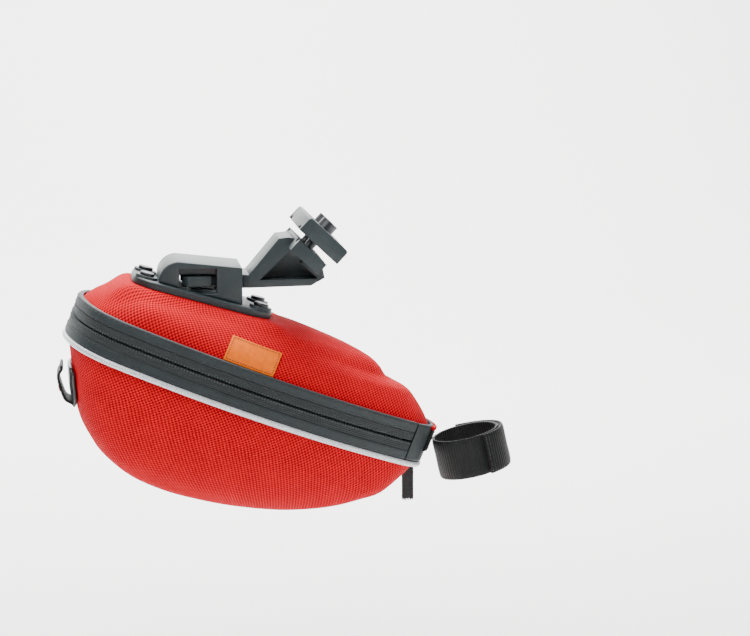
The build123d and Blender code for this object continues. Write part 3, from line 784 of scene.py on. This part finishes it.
UPPER_SHELL = MouldedShell(
    name="upper_shell_cloth", body="bag_upper", node="upper_shell", lining_node="upper_lining",
    upper=True, seat=Seat(),
    front=[(90.4, 7.5), (89.2, 9.6), (84.2, 14.6), (75.5, 20.9), (69.7, 22.2), (62, 23.6), (57.2, 27.0),
           (51.1, 29.6), (39.8, 31.5), (29.1, 32.4), (13, 33.0)],
    rear=[(-89.9, 7.5), (-89.0, 9.6), (-84.6, 15.2), (-76.6, 20.6), (-66.6, 22.5), (-56.6, 23.8),
          (-37.1, 27.3), (-11.8, 29.9), (2.8, 32.4), (13, 33.0)],
    side=[(47.4, 7.5), (47.0, 9.6), (44.5, 15.0), (39.0, 20.9), (35.0, 24.0), (29.0, 27.5), (23.0, 29.6),
          (11.0, 32.2), (0.0, 33.0)])
LOWER_SHELL = MouldedShell(
    name="lower_shell_cloth", body="bag_lower", node="lower_shell", lining_node="lower_lining",
    upper=False,
    front=[(90.4, -10.2), (89.6, -13.2), (86.5, -20.4), (80.2, -31.2), (72.3, -37.5), (64.1, -43.4),
           (55.6, -48.2), (46.6, -52.3), (37.6, -55.8), (23.4, -59.9), (9, -63), (-11.1, -65.2),
           (-21.5, -65.5)],
    rear=[(-89.9, -10.2), (-89.0, -13.2), (-85.4, -20.5), (-78.8, -34.5), (-71.2, -45.9), (-62.9, -53.5),
          (-55.6, -58.5), (-43.4, -63.2), (-32.1, -65.1), (-21.5, -65.5)],
    side=[(47.4, -10.2), (47.3, -13.2), (46.4, -20.5), (44.5, -31.0), (42.0, -38.0), (38.5, -46.0),
          (33.0, -53.5), (27.0, -58.5), (21.5, -62.0), (11.5, -65.0), (0.0, -65.5)])


# ---- the band: binding, zip tape, coils, nose fabric, piping ----


@dataclass
class Strip:
    """A closed cross-section carried along the band's outline.

    Attributes:
        section: places of proud and w, counter-clockwise, with the outside on the larger proud.
        start: the fraction where it begins; -1 with end 1 closes the loop at the tail.
        end: the fraction where it ends; past 1 it comes back along the right side.
        columns: faces along it.
        cloth_start: the fraction from which the cloth's length is measured.
    """

    section: Sequence[Point2]
    start: float = -1.0
    end: float = 1.0
    columns: int = 260
    cloth_start: float = 0.0

    def build(self) -> bpy.types.Object:
        """Bend a grid into the strip and close it."""
        spots = list(self.section) + [self.section[0]]
        rows = len(spots) - 1
        ticks = np.arange(rows + 1)
        girths = np.concatenate([[0.0], np.cumsum([math.dist(a, b) for a, b in zip(spots, spots[1:])])])
        prouds, heights = [spot[0] for spot in spots], [spot[1] for spot in spots]

        def fraction(along: float) -> float:
            """Give the outline's fraction at a share of the strip."""
            return self.start + (self.end - self.start) * along

        def place(along: float, across: float) -> Vector:
            """Give the world place of a point of the strip."""
            proud, w = (float(np.interp(across * rows, ticks, values)) for values in (prouds, heights))
            u, v, nu, nv = BAND_PATH.at(fraction(along))
            return BAG.world(u + nu * proud, v + nv * proud, w)

        def lay(along: float, across: float) -> Point2:
            """Give the cloth's length and girth at a point of the strip."""
            far = (fraction(along) - self.cloth_start) * BAND_PATH.half_length
            return far * MM, float(np.interp(across * rows, ticks, girths)) * MM

        piece = grid_piece(self.columns, rows, place, lay)
        weld(piece)
        return piece


def long_strip(section: Sequence[Point2], join: float) -> Strip:
    """Give a strip from the nose fabric's left edge round the tail to its right edge."""
    return Strip(section, join, 2.0 - join, 300, join)


def rolled(top: float, bottom: float, proud: float, inner: float, roll: float,
           steps: int = 5) -> list[Point2]:
    """Give a section whose outer corners are rolled over.

    Args:
        top: highest w.
        bottom: lowest w.
        proud: the outer face.
        inner: the inner face.
        roll: radius of the rolled corners.
        steps: pieces of each roll.

    Returns:
        The section's places.
    """
    spots = [(inner, bottom)]
    for i in range(steps + 1):
        angle = -math.pi / 2 + math.pi / 2 * i / steps
        spots.append((proud - roll + roll * math.cos(angle), bottom + roll + roll * math.sin(angle)))
    for i in range(1, 4):
        spots.append((proud + 0.12 * math.sin(math.pi * i / 4),
                      bottom + roll + (top - bottom - 2 * roll) * i / 4))
    for i in range(steps + 1):
        angle = math.pi / 2 * i / steps
        spots.append((proud - roll + roll * math.cos(angle), top - roll + roll * math.sin(angle)))
    spots.append((inner, top))
    return spots


@dataclass
class ZipBand:
    """The dark band: bound edges, ribbed zip tape, two coil rows and the unslit fabric round the nose."""

    half_height: float = 9.5
    tape_height: float = 4.5
    slit: float = 0.36
    wall: float = 2.4
    tape_wall: float = 1.8
    nose_join: float = 82.0
    stitch_pitch: float = 3.2
    stitch_length: float = 2.2
    ribs: int = 4
    rib_depth: float = 0.14
    lip: float = 0.35
    roll: float = 0.75
    coil_pitch: float = 1.5
    coil_proud: float = -3.45
    coil_height: float = 1.5
    coil_depth: float = 0.55
    coil_half: float = 0.75
    filament_radius: float = 0.28
    turn_steps: int = 6

    @property
    def join(self) -> float:
        """Fraction of the outline at the nose fabric's edge."""
        return BAND_PATH.where_u(self.nose_join - 0.4)

    @property
    def run(self) -> float:
        """Length of the zip from edge to edge of the nose fabric, in millimetres."""
        return (2 - 2 * self.join) * BAND_PATH.half_length

    def along(self, margin: float, share: float) -> tuple[float, float, float, float]:
        """Give place and outward direction at a share of the run, less a margin at each end."""
        return BAND_PATH.at(self.join + margin + (2 - 2 * margin - 2 * self.join) * share)

    def tape_section(self, sign: int) -> list[Point2]:
        """Give the ribbed section of one half of the zip tape."""
        low = self.slit + self.lip
        spots = [(-self.tape_wall, sign * self.slit), (-self.lip, sign * self.slit), (0.0, sign * low)]
        steps = self.ribs * 6
        for i in range(1, steps):
            t = i / steps
            rib = abs(math.sin(math.pi * self.ribs * t)) ** 0.7
            spots.append((-self.rib_depth * (1 - rib), sign * (low + (self.tape_height - low) * t)))
        spots += [(-0.1, sign * self.tape_height), (-self.tape_wall, sign * self.tape_height)]
        return spots

    def build_half(self, sign: int) -> None:
        """Build one half: binding, tape, coil and its stitch rows."""
        half, body = ("upper", "bag_upper") if sign > 0 else ("lower", "bag_lower")
        low, high = sorted((sign * (self.tape_height + 0.05), sign * self.half_height))
        binding = long_strip(rolled(high, low, 0.0, -self.wall, self.roll), self.join).build()
        finish_piece(binding, f"{half}_band_binding", COATED_BAND, body, (f"{half}_binding",),
                     50)
        tape = long_strip(self.tape_section(sign), self.join).build()
        finish_piece(tape, f"{half}_zip_tape_ribbed", ZIP_TAPE, body, (f"{half}_zip_tape",),
                     50)
        self.coil(sign, half, body)
        self.teeth(sign, half, body)
        for row, w in (("inner", 5.6), ("edge", 8.3)):
            self.stitches(f"{half}_stitches_{row}", sign * w, body)

    def coil(self, sign: int, half: str, body: str) -> None:
        """Wind one coil row behind the tape's edge, as flattened turns of filament."""
        steps = int(self.run / self.coil_pitch) * self.turn_steps
        spots = []
        for i in range(steps + 1):
            angle = 2 * math.pi * i / self.turn_steps
            u, v, nu, nv = self.along(0.006, i / steps)
            proud = self.coil_proud + self.coil_depth * math.sin(angle)
            w = sign * (self.coil_height + self.coil_half * math.cos(angle))
            spots.append(BAG.world(u + nu * proud, v + nv * proud, w))
        curve = bpy.data.curves.new(f"{half}_coil", "CURVE")
        curve.dimensions = "3D"
        curve.bevel_depth = self.filament_radius * MM
        curve.bevel_resolution = 0
        spline = curve.splines.new("POLY")
        spline.points.add(len(spots) - 1)
        for point, spot in zip(spline.points, spots):
            point.co = (*spot, 1.0)
        made = bpy.data.objects.new(f"{half}_coil", curve)
        bpy.context.collection.objects.link(made)
        take(made)
        bpy.ops.object.convert(target="MESH")
        finish_piece(bpy.context.object, f"{half}_zip_coil_turns", COIL_NYLON, body,
                     (f"{half}_zip_coil",), 60)

    def teeth(self, sign: int, half: str, body: str) -> None:
        """Lay the coil's turns where they press through the tape beside the slit, in the tape's colour
        painted lighter as a highlight.
        """
        count = int(self.run / self.coil_pitch)
        stagger = 0.25 if sign > 0 else 0.75
        spots = []
        for i in range(count):
            u, v, nu, nv = self.along(0.004, (i + stagger) / count)
            spots.append((BAG.world(u - nu * 0.08, v - nv * 0.08, sign * 0.98), BAG.turn(0, 0, 1),
                          BAG.turn(nu, nv, 0)))
        # painted highlight: the ridges take the tape yarn's own colour made lighter
        sew(f"{half}_zip_teeth", spots, 1.15, 0.75, ZIP_TAPE_RIDGE_HIGHLIGHT, body)

    def stitches(self, name: str, w: float, body: str) -> None:
        """Sew a row of short stitches into the binding."""
        count = int(self.run / self.stitch_pitch)
        spots = []
        for i in range(count):
            u, v, nu, nv = self.along(0.01, (i + 0.5) / count)
            spots.append((BAG.world(u + nu * 0.1, v + nv * 0.1, w), BAG.turn(-nv, nu, 0),
                          BAG.turn(nu, nv, 0)))
        sew(name, spots, self.stitch_length, 0.45, THREAD_DARK, body)

    def build_nose(self) -> None:
        """Build the unslit fabric round the nose, which folds on the real bag when it opens; this piece
        rides on no body and does not fold.
        """
        spots = [(-self.tape_wall, -self.half_height)]
        radius = self.roll
        for i in range(33):
            t = i / 32
            edge = min(t, 1 - t) * 2 * self.half_height
            roll = radius - math.sqrt(max(radius ** 2 - (radius - edge) ** 2, 0)) if edge < radius else 0.0
            spots.append((-roll, -self.half_height + 2 * self.half_height * t))
        spots.append((-self.tape_wall, self.half_height))
        piece = Strip(spots, -self.join + 0.004, self.join - 0.004, 64).build()
        finish_piece(piece, "nose_fold_fabric", COATED_BAND, None, ("hinge_fabric",), 50)
        nose = BAND_OUTLINE.front
        tuple(BAG.world(nose, 0, 2))
        tuple(BAG.world(nose, 0, -9))
        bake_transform(piece)

    def build_guard(self) -> None:
        """Build the cloth flap inside the upper half, which hangs behind the zip and keeps dust out."""
        flap = long_strip(rolled(9.0, -2.6, -6.95, -7.5, 0.2), self.join).build()
        finish_piece(flap, "zip_guard_flap", LINING_KNIT, "bag_upper", (), 50)

    def build_edge_tapes(self) -> None:
        """Build the cloth tapes inside that cover the shells' raw rims."""
        for half, body, low, high in (("upper", "bag_upper", 6.5, 7.3), ("lower", "bag_lower", -10.0, -9.2)):
            tape = Strip(rolled(high, low, -2.5, -6.9, 0.3), -1.0, 1.0, 300).build()
            finish_piece(tape, f"{half}_rim_tape", WEBBING_BLACK, body, (), 50)

    def build(self) -> None:
        """Build the whole band."""
        for sign in (1, -1):
            self.build_half(sign)
        self.build_edge_tapes()
        self.build_nose()
        self.build_guard()


def sew(name: str, spots: Sequence[tuple[Vector, Vector, Vector]], length: float, width: float,
        finish: Finish, body: str) -> bpy.types.Object:
    """Lay copies of one stitch.

    Args:
        name: the row's name.
        spots: place, direction along the seam and outward direction of each stitch.
        length: a stitch's length in millimetres.
        width: its width in millimetres.
        finish: the thread.
        body: the body it rides on.

    Returns:
        The row as one piece.
    """
    take_none()
    bpy.ops.mesh.primitive_uv_sphere_add(segments=8, ring_count=5, radius=0.5)
    one = bpy.context.object
    in_edit(one, lambda: bpy.ops.transform.resize(value=(length * MM, width * MM, width * MM)))
    corners = [vertex.co.copy() for vertex in one.data.vertices]
    faces = [tuple(face.vertices) for face in one.data.polygons]
    bpy.data.objects.remove(one)
    points, polygons = [], []
    for place, along, out in spots:
        along, out = along.normalized(), out.normalized()
        side = out.cross(along)
        base = len(points)
        points += [place + along * c.x + side * c.y + out * c.z for c in corners]
        polygons += [tuple(base + i for i in face) for face in faces]
    mesh = bpy.data.meshes.new(name)
    mesh.from_pydata(points, [], polygons)
    piece = bpy.data.objects.new(name, mesh)
    bpy.context.collection.objects.link(piece)
    return finish_piece(piece, name, finish, body, (), 80)


@dataclass
class Piping:
    """Reflective strip under the band, folded over a thin cord."""

    low: float = -12.3
    high: float = -9.65
    proud: float = 0.55
    inner: float = -1.6

    def build(self) -> None:
        """Build the strip as one closed loop."""
        middle, rise = (self.low + self.high) / 2, (self.high - self.low) / 2
        spots = [(self.inner, self.low + 0.2)]
        for i in range(13):
            angle = -math.pi / 2 + math.pi * i / 12
            spots.append((-0.35 + (self.proud + 0.35) * math.cos(angle), middle + rise * math.sin(angle)))
        spots.append((self.inner, self.high - 0.2))
        piece = Strip(spots, -1.0, 1.0, 340).build()
        finish_piece(piece, "reflective_piping", REFLECTIVE, "bag_lower", ("piping",), 60)


# ---- the label ----


@dataclass
class WovenLabel:
    """Plain woven label on the right side, its foot tucked in at the band's upper edge."""

    middle_u: float = -9.0
    length: float = 25.0
    height: float = 13.5
    foot_share: float = 0.035
    gap: float = 0.3
    wall: float = 0.5

    def spot(self, along: float, across: float, lift: float) -> tuple[Vector, Vector, Vector, Vector]:
        """Give the world place and the directions along, up and out at a point of the label."""
        def on(a: float, b: float) -> Vector:
            """Give the shell's place under a point of the label."""
            share = self.foot_share + b * self.height / UPPER_SHELL.girth
            return UPPER_SHELL.at_u(self.middle_u + (a - 0.5) * self.length + 1.2 * b, share)

        here = on(along, across)
        run = (on(along + 0.02, across) - here).normalized()
        rise = (on(along, across + 0.02) - here).normalized()
        out = run.cross(rise).normalized()
        here = here + out * (self.gap + lift)
        return BAG.world(*here), BAG.turn(*run), BAG.turn(*rise), BAG.turn(*out)

    def build(self) -> None:
        """Build the label and the seam round its edge."""
        piece = grid_piece(50, 24, lambda a, b: self.spot(a, b, 0.05 * math.sin(a * 9) * (1 - b))[0],
                           lambda a, b: (a * self.length * MM, b * self.height * MM))
        thicken(piece, self.wall, 1.0, 0.15)
        finish_piece(piece, "woven_label", LABEL_SATIN, "bag_upper", ("label",), 50)
        inset_a, inset_b = 1.0 / self.length, 1.0 / self.height
        seam = []
        for count, fixed, horizontal in ((17, inset_b, True), (17, 1 - inset_b, True),
                                         (8, inset_a, False), (8, 1 - inset_a, False)):
            for i in range(count):
                free = (i + 0.5) / count
                a, b = (inset_a + (1 - 2 * inset_a) * free, fixed) if horizontal else (
                    fixed, inset_b + (1 - 2 * inset_b) * free)
                place, run, rise, out = self.spot(a, b, self.wall + 0.05)
                seam.append((place, run if horizontal else rise, out))
        sew("label_stitches", seam, 1.15, 0.4, THREAD_BROWN, "bag_upper")


# ---- the bracket, the receiver and the plates ----


@dataclass
class Bracket:
    """Moulded arm with its jaw on the rails, and the latch that holds the bag."""

    arm_round: float = 0.9
    jaw_round: float = 0.8
    prong_round: float = 0.4
    receiver_round: float = 0.9
    plate_round: float = 0.7

    def build(self) -> None:
        """Soften each moulded piece's edges and give it its finish."""
        for node, name, width, body in (
                ("bracket_arm", "bracket_arm_moulded", self.arm_round, "bracket"),
                ("clamp_plate", "rail_jaw_moulded", self.jaw_round, "clamp"),
                ("prong_left", "latch_prong_left", self.prong_round, "prong_left"),
                ("prong_right", "latch_prong_right", self.prong_round, "prong_right"),
                ("receiver", "receiver_moulded", self.receiver_round, "bag_upper"),
                ("mount_plate", "mount_plate_moulded", self.plate_round, "bag_upper"),
                ("backing_plate", "backing_plate_moulded", self.jaw_round, "bag_upper")):
            softened(node, name, width, NYLON_SLATE, body)
        for node in ("clamp_bolts", "clamp_nuts", "plate_screws"):
            redressed(node, STEEL_BLACK)


# ---- the slider, its puller and the ribbon ----


@dataclass
class ZipPull:
    """Slider with a framed puller, and a ribbon cut with a hot knife that has begun to fray."""

    width: float = 6.0
    wall: float = 0.6
    open_half: float = 1.45
    yarns: int = 30
    seed: int = 7

    def build(self) -> None:
        """Build the slider, the puller and the ribbon."""
        softened("zip_slider", "zip_slider_cast", 0.25, ENAMELLED_ZINC, "slider")
        softened("pull_tab", "puller_frame", 0.3, ENAMELLED_ZINC, "puller")
        low, high = (Vector(corner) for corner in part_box("pull_ribbon"))
        middle = (low + high) / 2
        foot, top = low.z / MM, high.z / MM
        rising = [(0.32, foot + 0.6), (0.36, foot + 12), (0.34, top - 11), (1.3, top - 6.6),
                  (self.open_half, top - 3.6), (1.0, top - 1.7)]
        falling = [(-y, z) for y, z in reversed(rising)]
        line = smooth_line([*rising, (0.0, top - 1.5), *falling])
        lean = math.tan(math.radians(BAG.tilt))

        def place(along: float, across: float) -> Vector:
            """Give the world place of a point of the ribbon, which hangs and sways a little."""
            y, z = walk(line, along)
            x = (across - 0.5) * self.width
            near_top = min(1.0, max(0.0, (13 - (top - z)) / 8))
            hang = max(0.0, (top - 10 - z) / 24)
            sway = 0.5 * math.sin(hang * 4.2) * hang
            curl = 0.25 * hang * (2 * across - 1) ** 2
            return Vector((middle.x / MM + x * (1 - 0.04 * hang), middle.y / MM + y + sway * 0.6 - curl,
                           z - x * lean * near_top)) * MM

        ribbon = grid_piece(110, 10, place, lambda a, b: (a * line[-1, 0] * MM, b * self.width * MM))
        apply_modifier(ribbon, "SOLIDIFY", thickness=self.wall * MM, offset=0.0)
        finish_piece(ribbon, "pull_ribbon_grosgrain", RIBBON_BLACK, "ribbon", ("pull_ribbon",),
                     60)
        chance = np.random.default_rng(self.seed)
        ends = []
        for i in range(self.yarns):
            x = middle.x + (i / (self.yarns - 1) - 0.5) * self.width * MM * 0.94
            y = middle.y + chance.uniform(-0.4, 0.4) * MM
            root = Vector((x, y, low.z + chance.uniform(0.2, 1.1) * MM))
            hang = Vector((chance.uniform(-0.35, 0.35), chance.uniform(-0.2, 0.2), -1))
            ends.append((root, hang, Vector((0, -1, 0))))
        sew("ribbon_frayed_yarns", ends, 2.6, 0.28, RIBBON_BLACK, "ribbon")


# ---- the seatpost strap and its anchor ----


@dataclass
class PostStrap:
    """Webbing wound round the seatpost, closed by hook and loop, and the tab that ties it to the nose."""

    radius: float = 15.45
    x: float = 78.6
    z: float = -104.0
    lean: float = 13.1
    height: float = 20.0
    wall: float = 1.4
    hook_wall: float = 0.8
    tail_start: float = -70.0
    tail_arc: float = 165.0
    anchor_half: float = 11.0
    anchor_low: float = -3.5
    anchor_high: float = 8.5

    def world(self, radius: float, angle: float, height: float) -> Vector:
        """Give the world place of a place round the post."""
        x, y = radius * math.cos(math.radians(angle)), radius * math.sin(math.radians(angle))
        c, s = math.cos(math.radians(self.lean)), math.sin(math.radians(self.lean))
        return Vector((self.x + x * c - height * s, y, self.z + x * s + height * c)) * MM

    def wound(self, name: str, start: float, arc: float, inner: Callable[[float], float], wall: float,
              height: float, finish: Finish, replaced: Sequence[str]) -> None:
        """Wind one layer of webbing with soft edges.

        Args:
            name: the layer's name.
            start: first angle in degrees.
            arc: angle it covers.
            inner: inner radius at an angle.
            wall: its thickness.
            height: its width along the post.
            finish: its finish.
            replaced: CAD nodes that it stands for.
        """
        closed = arc > 359

        def place(along: float, across: float) -> Vector:
            """Give the world place of a point of the layer, a little rippled."""
            angle = start + arc * along
            ripple = 0.06 * math.sin(math.radians(angle * 7)) + 0.05 * math.sin(across * 9)
            edge = 1 - 0.25 * abs(2 * across - 1) ** 8
            return self.world(inner(angle) + wall * edge + ripple * (0.6 if closed else 1), angle,
                              (across - 0.5) * height)

        girth = math.radians(arc) * (inner(start) + wall)
        piece = grid_piece(int(arc * 0.8), 24, place, lambda a, b: (a * girth * MM, b * height * MM))
        if closed:
            in_edit(piece, lambda: bpy.ops.mesh.remove_doubles(threshold=2 * WELD_GAP))
        thicken(piece, wall - 0.1, -1.0)
        finish_piece(piece, name, finish, "bag_upper", replaced, 60)

    @property
    def tail_radius(self) -> float:
        """Inner radius of the tail where it lies flat on the hook tape."""
        return self.radius + self.wall + self.hook_wall + 0.2

    def lifted(self, angle: float) -> float:
        """Give the tail's inner radius: it lies on the hook tape and lifts at its free end."""
        free = 34.0
        share = max(0.0, (angle - (self.tail_start + self.tail_arc - free)) / free)
        return self.tail_radius + 1.6 * share ** 2

    def build(self) -> None:
        """Build the loop, its tail, the hook tape, the anchor and their seams."""
        self.wound("strap_loop", self.tail_start, 360.0, lambda a: self.radius + 0.05, self.wall,
                   self.height, WEBBING_BLACK, ("post_strap",))
        self.wound("strap_tail", self.tail_start, self.tail_arc, self.lifted, self.wall, self.height,
                   WEBBING_BLACK, ())
        self.wound("strap_hook_pile", self.tail_start + 4, self.tail_arc - 12,
                   lambda a: self.radius + self.wall + 0.12, self.hook_wall, self.height - 1.5, HOOK_PILE,
                   ("strap_hook_tape",))
        outer = self.tail_radius + self.wall
        seam = []
        for angle in (self.tail_start + 3, self.tail_start + 8):
            for i in range(7):
                height = (i - 3) * 2.6
                seam.append((self.world(outer + 0.05, angle, height),
                             self.world(1, angle, height + 1) - self.world(1, angle, height),
                             self.world(2, angle, 0) - self.world(1, angle, 0)))
        sew("strap_bar_tack", seam, 2.1, 0.5, THREAD_DARK, "bag_upper")
        self.anchor()

    def anchor(self) -> None:
        """Build the webbing tab on the nose, with its red bound edge."""
        reach = self.anchor_half / BAND_PATH.half_length * 1.04
        tab = Strip(rolled(self.anchor_high, self.anchor_low, 1.25, 0.15, 0.4), -reach, reach, 30).build()
        finish_piece(tab, "front_anchor_webbing", WEBBING_BLACK, "bag_upper", ("front_anchor",),
                     50)
        section = rolled(self.anchor_high + 0.9, self.anchor_high - 1.1, 1.55, 0.05, 0.5)
        edge = Strip(section, -reach, reach, 30).build()
        finish_piece(edge, "front_anchor_red_edge", RED_WEAVE, "bag_upper", (), 50)
        rows = []
        for w in (self.anchor_low + 1.4, self.anchor_high - 2.2):
            for i in range(7):
                u, v, nu, nv = BAND_PATH.at(reach * 0.86 * (i - 3) / 3)
                rows.append((BAG.world(u + nu * 1.35, v + nv * 1.35, w), BAG.turn(-nv, nu, 0),
                             BAG.turn(nu, nv, 0)))
        sew("anchor_stitches", rows, 2.2, 0.45, THREAD_DARK, "bag_upper")


# ---- the rear light loop ----


@dataclass
class LightLoop:
    """Patch and raised webbing loop at the rear, for a clip-on light."""

    u: float = -79.4
    w: float = -31.4
    slope: float = 51.8
    length: float = 21.0
    patch_width: float = 40.0
    loop_width: float = 20.0
    base: float = 2.75
    depth: float = 3.2

    def world(self, along: float, v: float, out: float) -> Vector:
        """Give the world place of a place on the loop: along the wall's slope, left, and out."""
        c, s = math.cos(math.radians(self.slope)), math.sin(math.radians(self.slope))
        return BAG.world(self.u - along * c - out * s, v, self.w + along * s - out * c)

    def direction(self, along: float, v: float, out: float) -> Vector:
        """Give a direction of the loop in the world."""
        return (self.world(along, v, out) - self.world(0, 0, 0)).normalized()

    def patch(self) -> None:
        """Build the patch, moulded to the rear wall."""
        skin = LOWER_SHELL.skin_once()
        shares = np.linspace(0, 0.6, 241)
        heights = np.array([skin(1.0, float(share))[0].z for share in shares])
        reach = self.length / 2 * math.sin(math.radians(self.slope))

        def on(a: float, b: float) -> Vector:
            """Give the rear wall's place under a point of the patch."""
            share = float(np.interp(-(self.w + reach * (2 * b - 1)), -heights, shares))
            v = (a - 0.5) * self.patch_width
            fraction = (1 - abs(v) / BAND_PATH.half_length) * (1 if v >= 0 else -1)
            return skin(fraction, share)[0]

        def place(a: float, b: float) -> Vector:
            """Give the world place of a point of the patch, with its corners drawn in."""
            corner = max(0.0, abs(2 * a - 1) - 0.8) * max(0.0, abs(2 * b - 1) - 0.75) * 40
            a, b = 0.5 + (a - 0.5) * (1 - 0.12 * corner), 0.5 + (b - 0.5) * (1 - 0.12 * corner)
            here = on(a, b)
            run, rise = on(a + 0.01, b) - on(a - 0.01, b), on(a, b + 0.01) - on(a, b - 0.01)
            out = run.cross(rise).normalized()
            out = out if out.x < 0 else -out
            return BAG.world(*(here + out * 1.3))

        piece = grid_piece(48, 34, place, lambda a, b: (a * self.patch_width * MM, b * self.length * MM))
        in_edit(piece, lambda: bpy.ops.mesh.normals_make_consistent(inside=False))
        thicken(piece, 1.1, 0.0)
        finish_piece(piece, "light_loop_patch_glossy", PATCH_GLOSS, "bag_lower", ("light_loop_patch",),
                     60)

    def band(self, name: str, low: float, high: float, lift: float, wall: float, width: float,
             finish: Finish, replaced: Sequence[str]) -> None:
        """Build a band that arches over the patch, between two shares of the arch."""
        half, crown = self.length / 2, self.base + self.depth
        rising = [(-half, self.base + 0.5), (-half + 1.6, self.base + 0.7), (-half + 3.0, crown - 1.0),
                  (-half + 5.2, crown + 0.5)]
        falling = [(-along, out) for along, out in reversed(rising)]
        line = smooth_line([*rising, (0, crown + 0.8), *falling])

        def place(a: float, b: float) -> Vector:
            """Give the world place of a point of the band."""
            along, out = walk(line, low + (high - low) * a)
            return self.world(along, (b - 0.5) * width, out + lift)

        piece = grid_piece(64 if high - low > 0.5 else 12, 24, place,
                           lambda a, b: (a * (high - low) * line[-1, 0] * MM, b * width * MM))
        thicken(piece, wall, 0.0)
        finish_piece(piece, name, finish, "bag_lower", replaced, 60)

    def build(self) -> None:
        """Build the patch, the loop, its red stripe and its seams."""
        self.patch()
        self.band("light_loop_webbing", 0.0, 1.0, 0.0, 1.3, self.loop_width, WEBBING_BLACK, ("light_loop",))
        self.band("light_loop_red_stripe", 0.44, 0.56, 0.85, 0.4, self.loop_width - 2, RED_WEAVE, ())
        seam = []
        for end in (-1, 1):
            for i in range(7):
                seam.append((self.world(end * (self.length / 2 - 0.9), (i - 3) * 2.6, self.base + 1.35),
                             self.direction(0, 1, 0), self.direction(0, 0, 1)))
        sew("light_loop_stitches", seam, 2.1, 0.5, THREAD_DARK, "bag_lower")


# ---- the studio ----


@dataclass
class Studio:
    """Pale seamless paper, three soft lamps on the bag, two on the paper, and the camera."""

    floor_z: float = -0.24
    azimuth: float = -7.0
    elevation: float = 8.5
    distance: float = 1.2
    lens: float = 118.0
    target: tuple[float, float, float] = (0.0317, 0.0, -0.037)

    def floor(self) -> None:
        """Roll the paper out below the bag and up behind it."""
        take_none()
        bpy.ops.mesh.primitive_plane_add(size=5.0, location=(0, -0.9, self.floor_z))
        piece = bpy.context.object
        bpy.ops.object.transform_apply(location=True, rotation=True, scale=True)
        mesh = piece.data
        far = max(vertex.co.y for vertex in mesh.vertices)
        take(piece)
        bpy.ops.object.mode_set(mode="EDIT")
        bpy.ops.mesh.select_all(action="DESELECT")
        edit = bmesh.from_edit_mesh(mesh)
        for edge in edit.edges:
            edge.select_set(all(vertex.co.y > far - 0.001 for vertex in edge.verts))
        bmesh.update_edit_mesh(mesh)
        bpy.ops.mesh.extrude_region_move(TRANSFORM_OT_translate={"value": (0, 0, 3.0)})
        bpy.ops.object.mode_set(mode="OBJECT")
        apply_modifier(piece, "BEVEL", width=0.7, segments=12, limit_method="ANGLE", angle_limit=0.8)
        take(piece)
        bpy.ops.object.shade_smooth_by_angle(angle=math.radians(40))
        piece.name = "studio_paper"
        piece.data.materials.append(STUDIO_PAPER.build())

    def lamp(self, name: str, place: tuple[float, float, float], size: float, power: float,
             aim: tuple[float, float, float] | None = None) -> None:
        """Hang a soft square lamp that faces the bag, or the place it is aimed at."""
        data = bpy.data.lights.new(name, "AREA")
        data.shape = "SQUARE"
        data.size = size
        data.energy = power
        made = bpy.data.objects.new(name, data)
        bpy.context.collection.objects.link(made)
        made.location = place
        towards = Vector(aim or self.target) - Vector(place)
        made.rotation_euler = towards.to_track_quat("-Z", "Y").to_euler()

    def camera(self) -> None:
        """Set the camera up on the bag's right, a little behind and above it."""
        a, e = math.radians(self.azimuth), math.radians(self.elevation)
        back = Vector((math.sin(a) * math.cos(e), -math.cos(a) * math.cos(e), math.sin(e)))
        data = bpy.data.cameras.new("camera")
        data.lens = self.lens
        data.sensor_width = 36.0
        made = bpy.data.objects.new("camera", data)
        bpy.context.collection.objects.link(made)
        made.location = Vector(self.target) + back * self.distance
        made.rotation_euler = back.to_track_quat("Z", "Y").to_euler()
        bpy.context.scene.camera = made

    def build(self) -> None:
        """Set the whole studio up."""
        self.camera()
        self.floor()
        self.lamp("key_softbox", (-0.45, -0.75, 1.05), 0.7, 19.0)
        self.lamp("fill_softbox", (0.9, -0.9, 0.25), 0.9, 4.0)
        self.lamp("back_softbox", (0.1, 0.8, 0.9), 0.8, 3.0)
        self.lamp("paper_lamp_high", (0.0, 0.7, 1.3), 1.4, 100.0, (0.0, 1.6, 0.2))
        self.lamp("paper_lamp_floor", (0.0, 0.6, 1.2), 1.0, 22.0, (0.0, 0.9, self.floor_z))
        world = bpy.data.worlds.new("pale_room")
        world.use_nodes = True
        background = world.node_tree.nodes["Background"]
        background.inputs["Color"].default_value = linear("fbfbfb")
        background.inputs["Strength"].default_value = 0.3
        bpy.context.scene.world = world


def main() -> None:
    """Build every sub-assembly."""
    logging.basicConfig(level=logging.INFO, format="%(message)s")
    Studio().build()
    for part in (UPPER_SHELL, LOWER_SHELL, ZipBand(), Piping(), WovenLabel(), Bracket(), ZipPull(),
                 PostStrap(), LightLoop()):
        part.build()
        log.info("built %s", type(part).__name__)


if __name__ == "__main__":
    main()
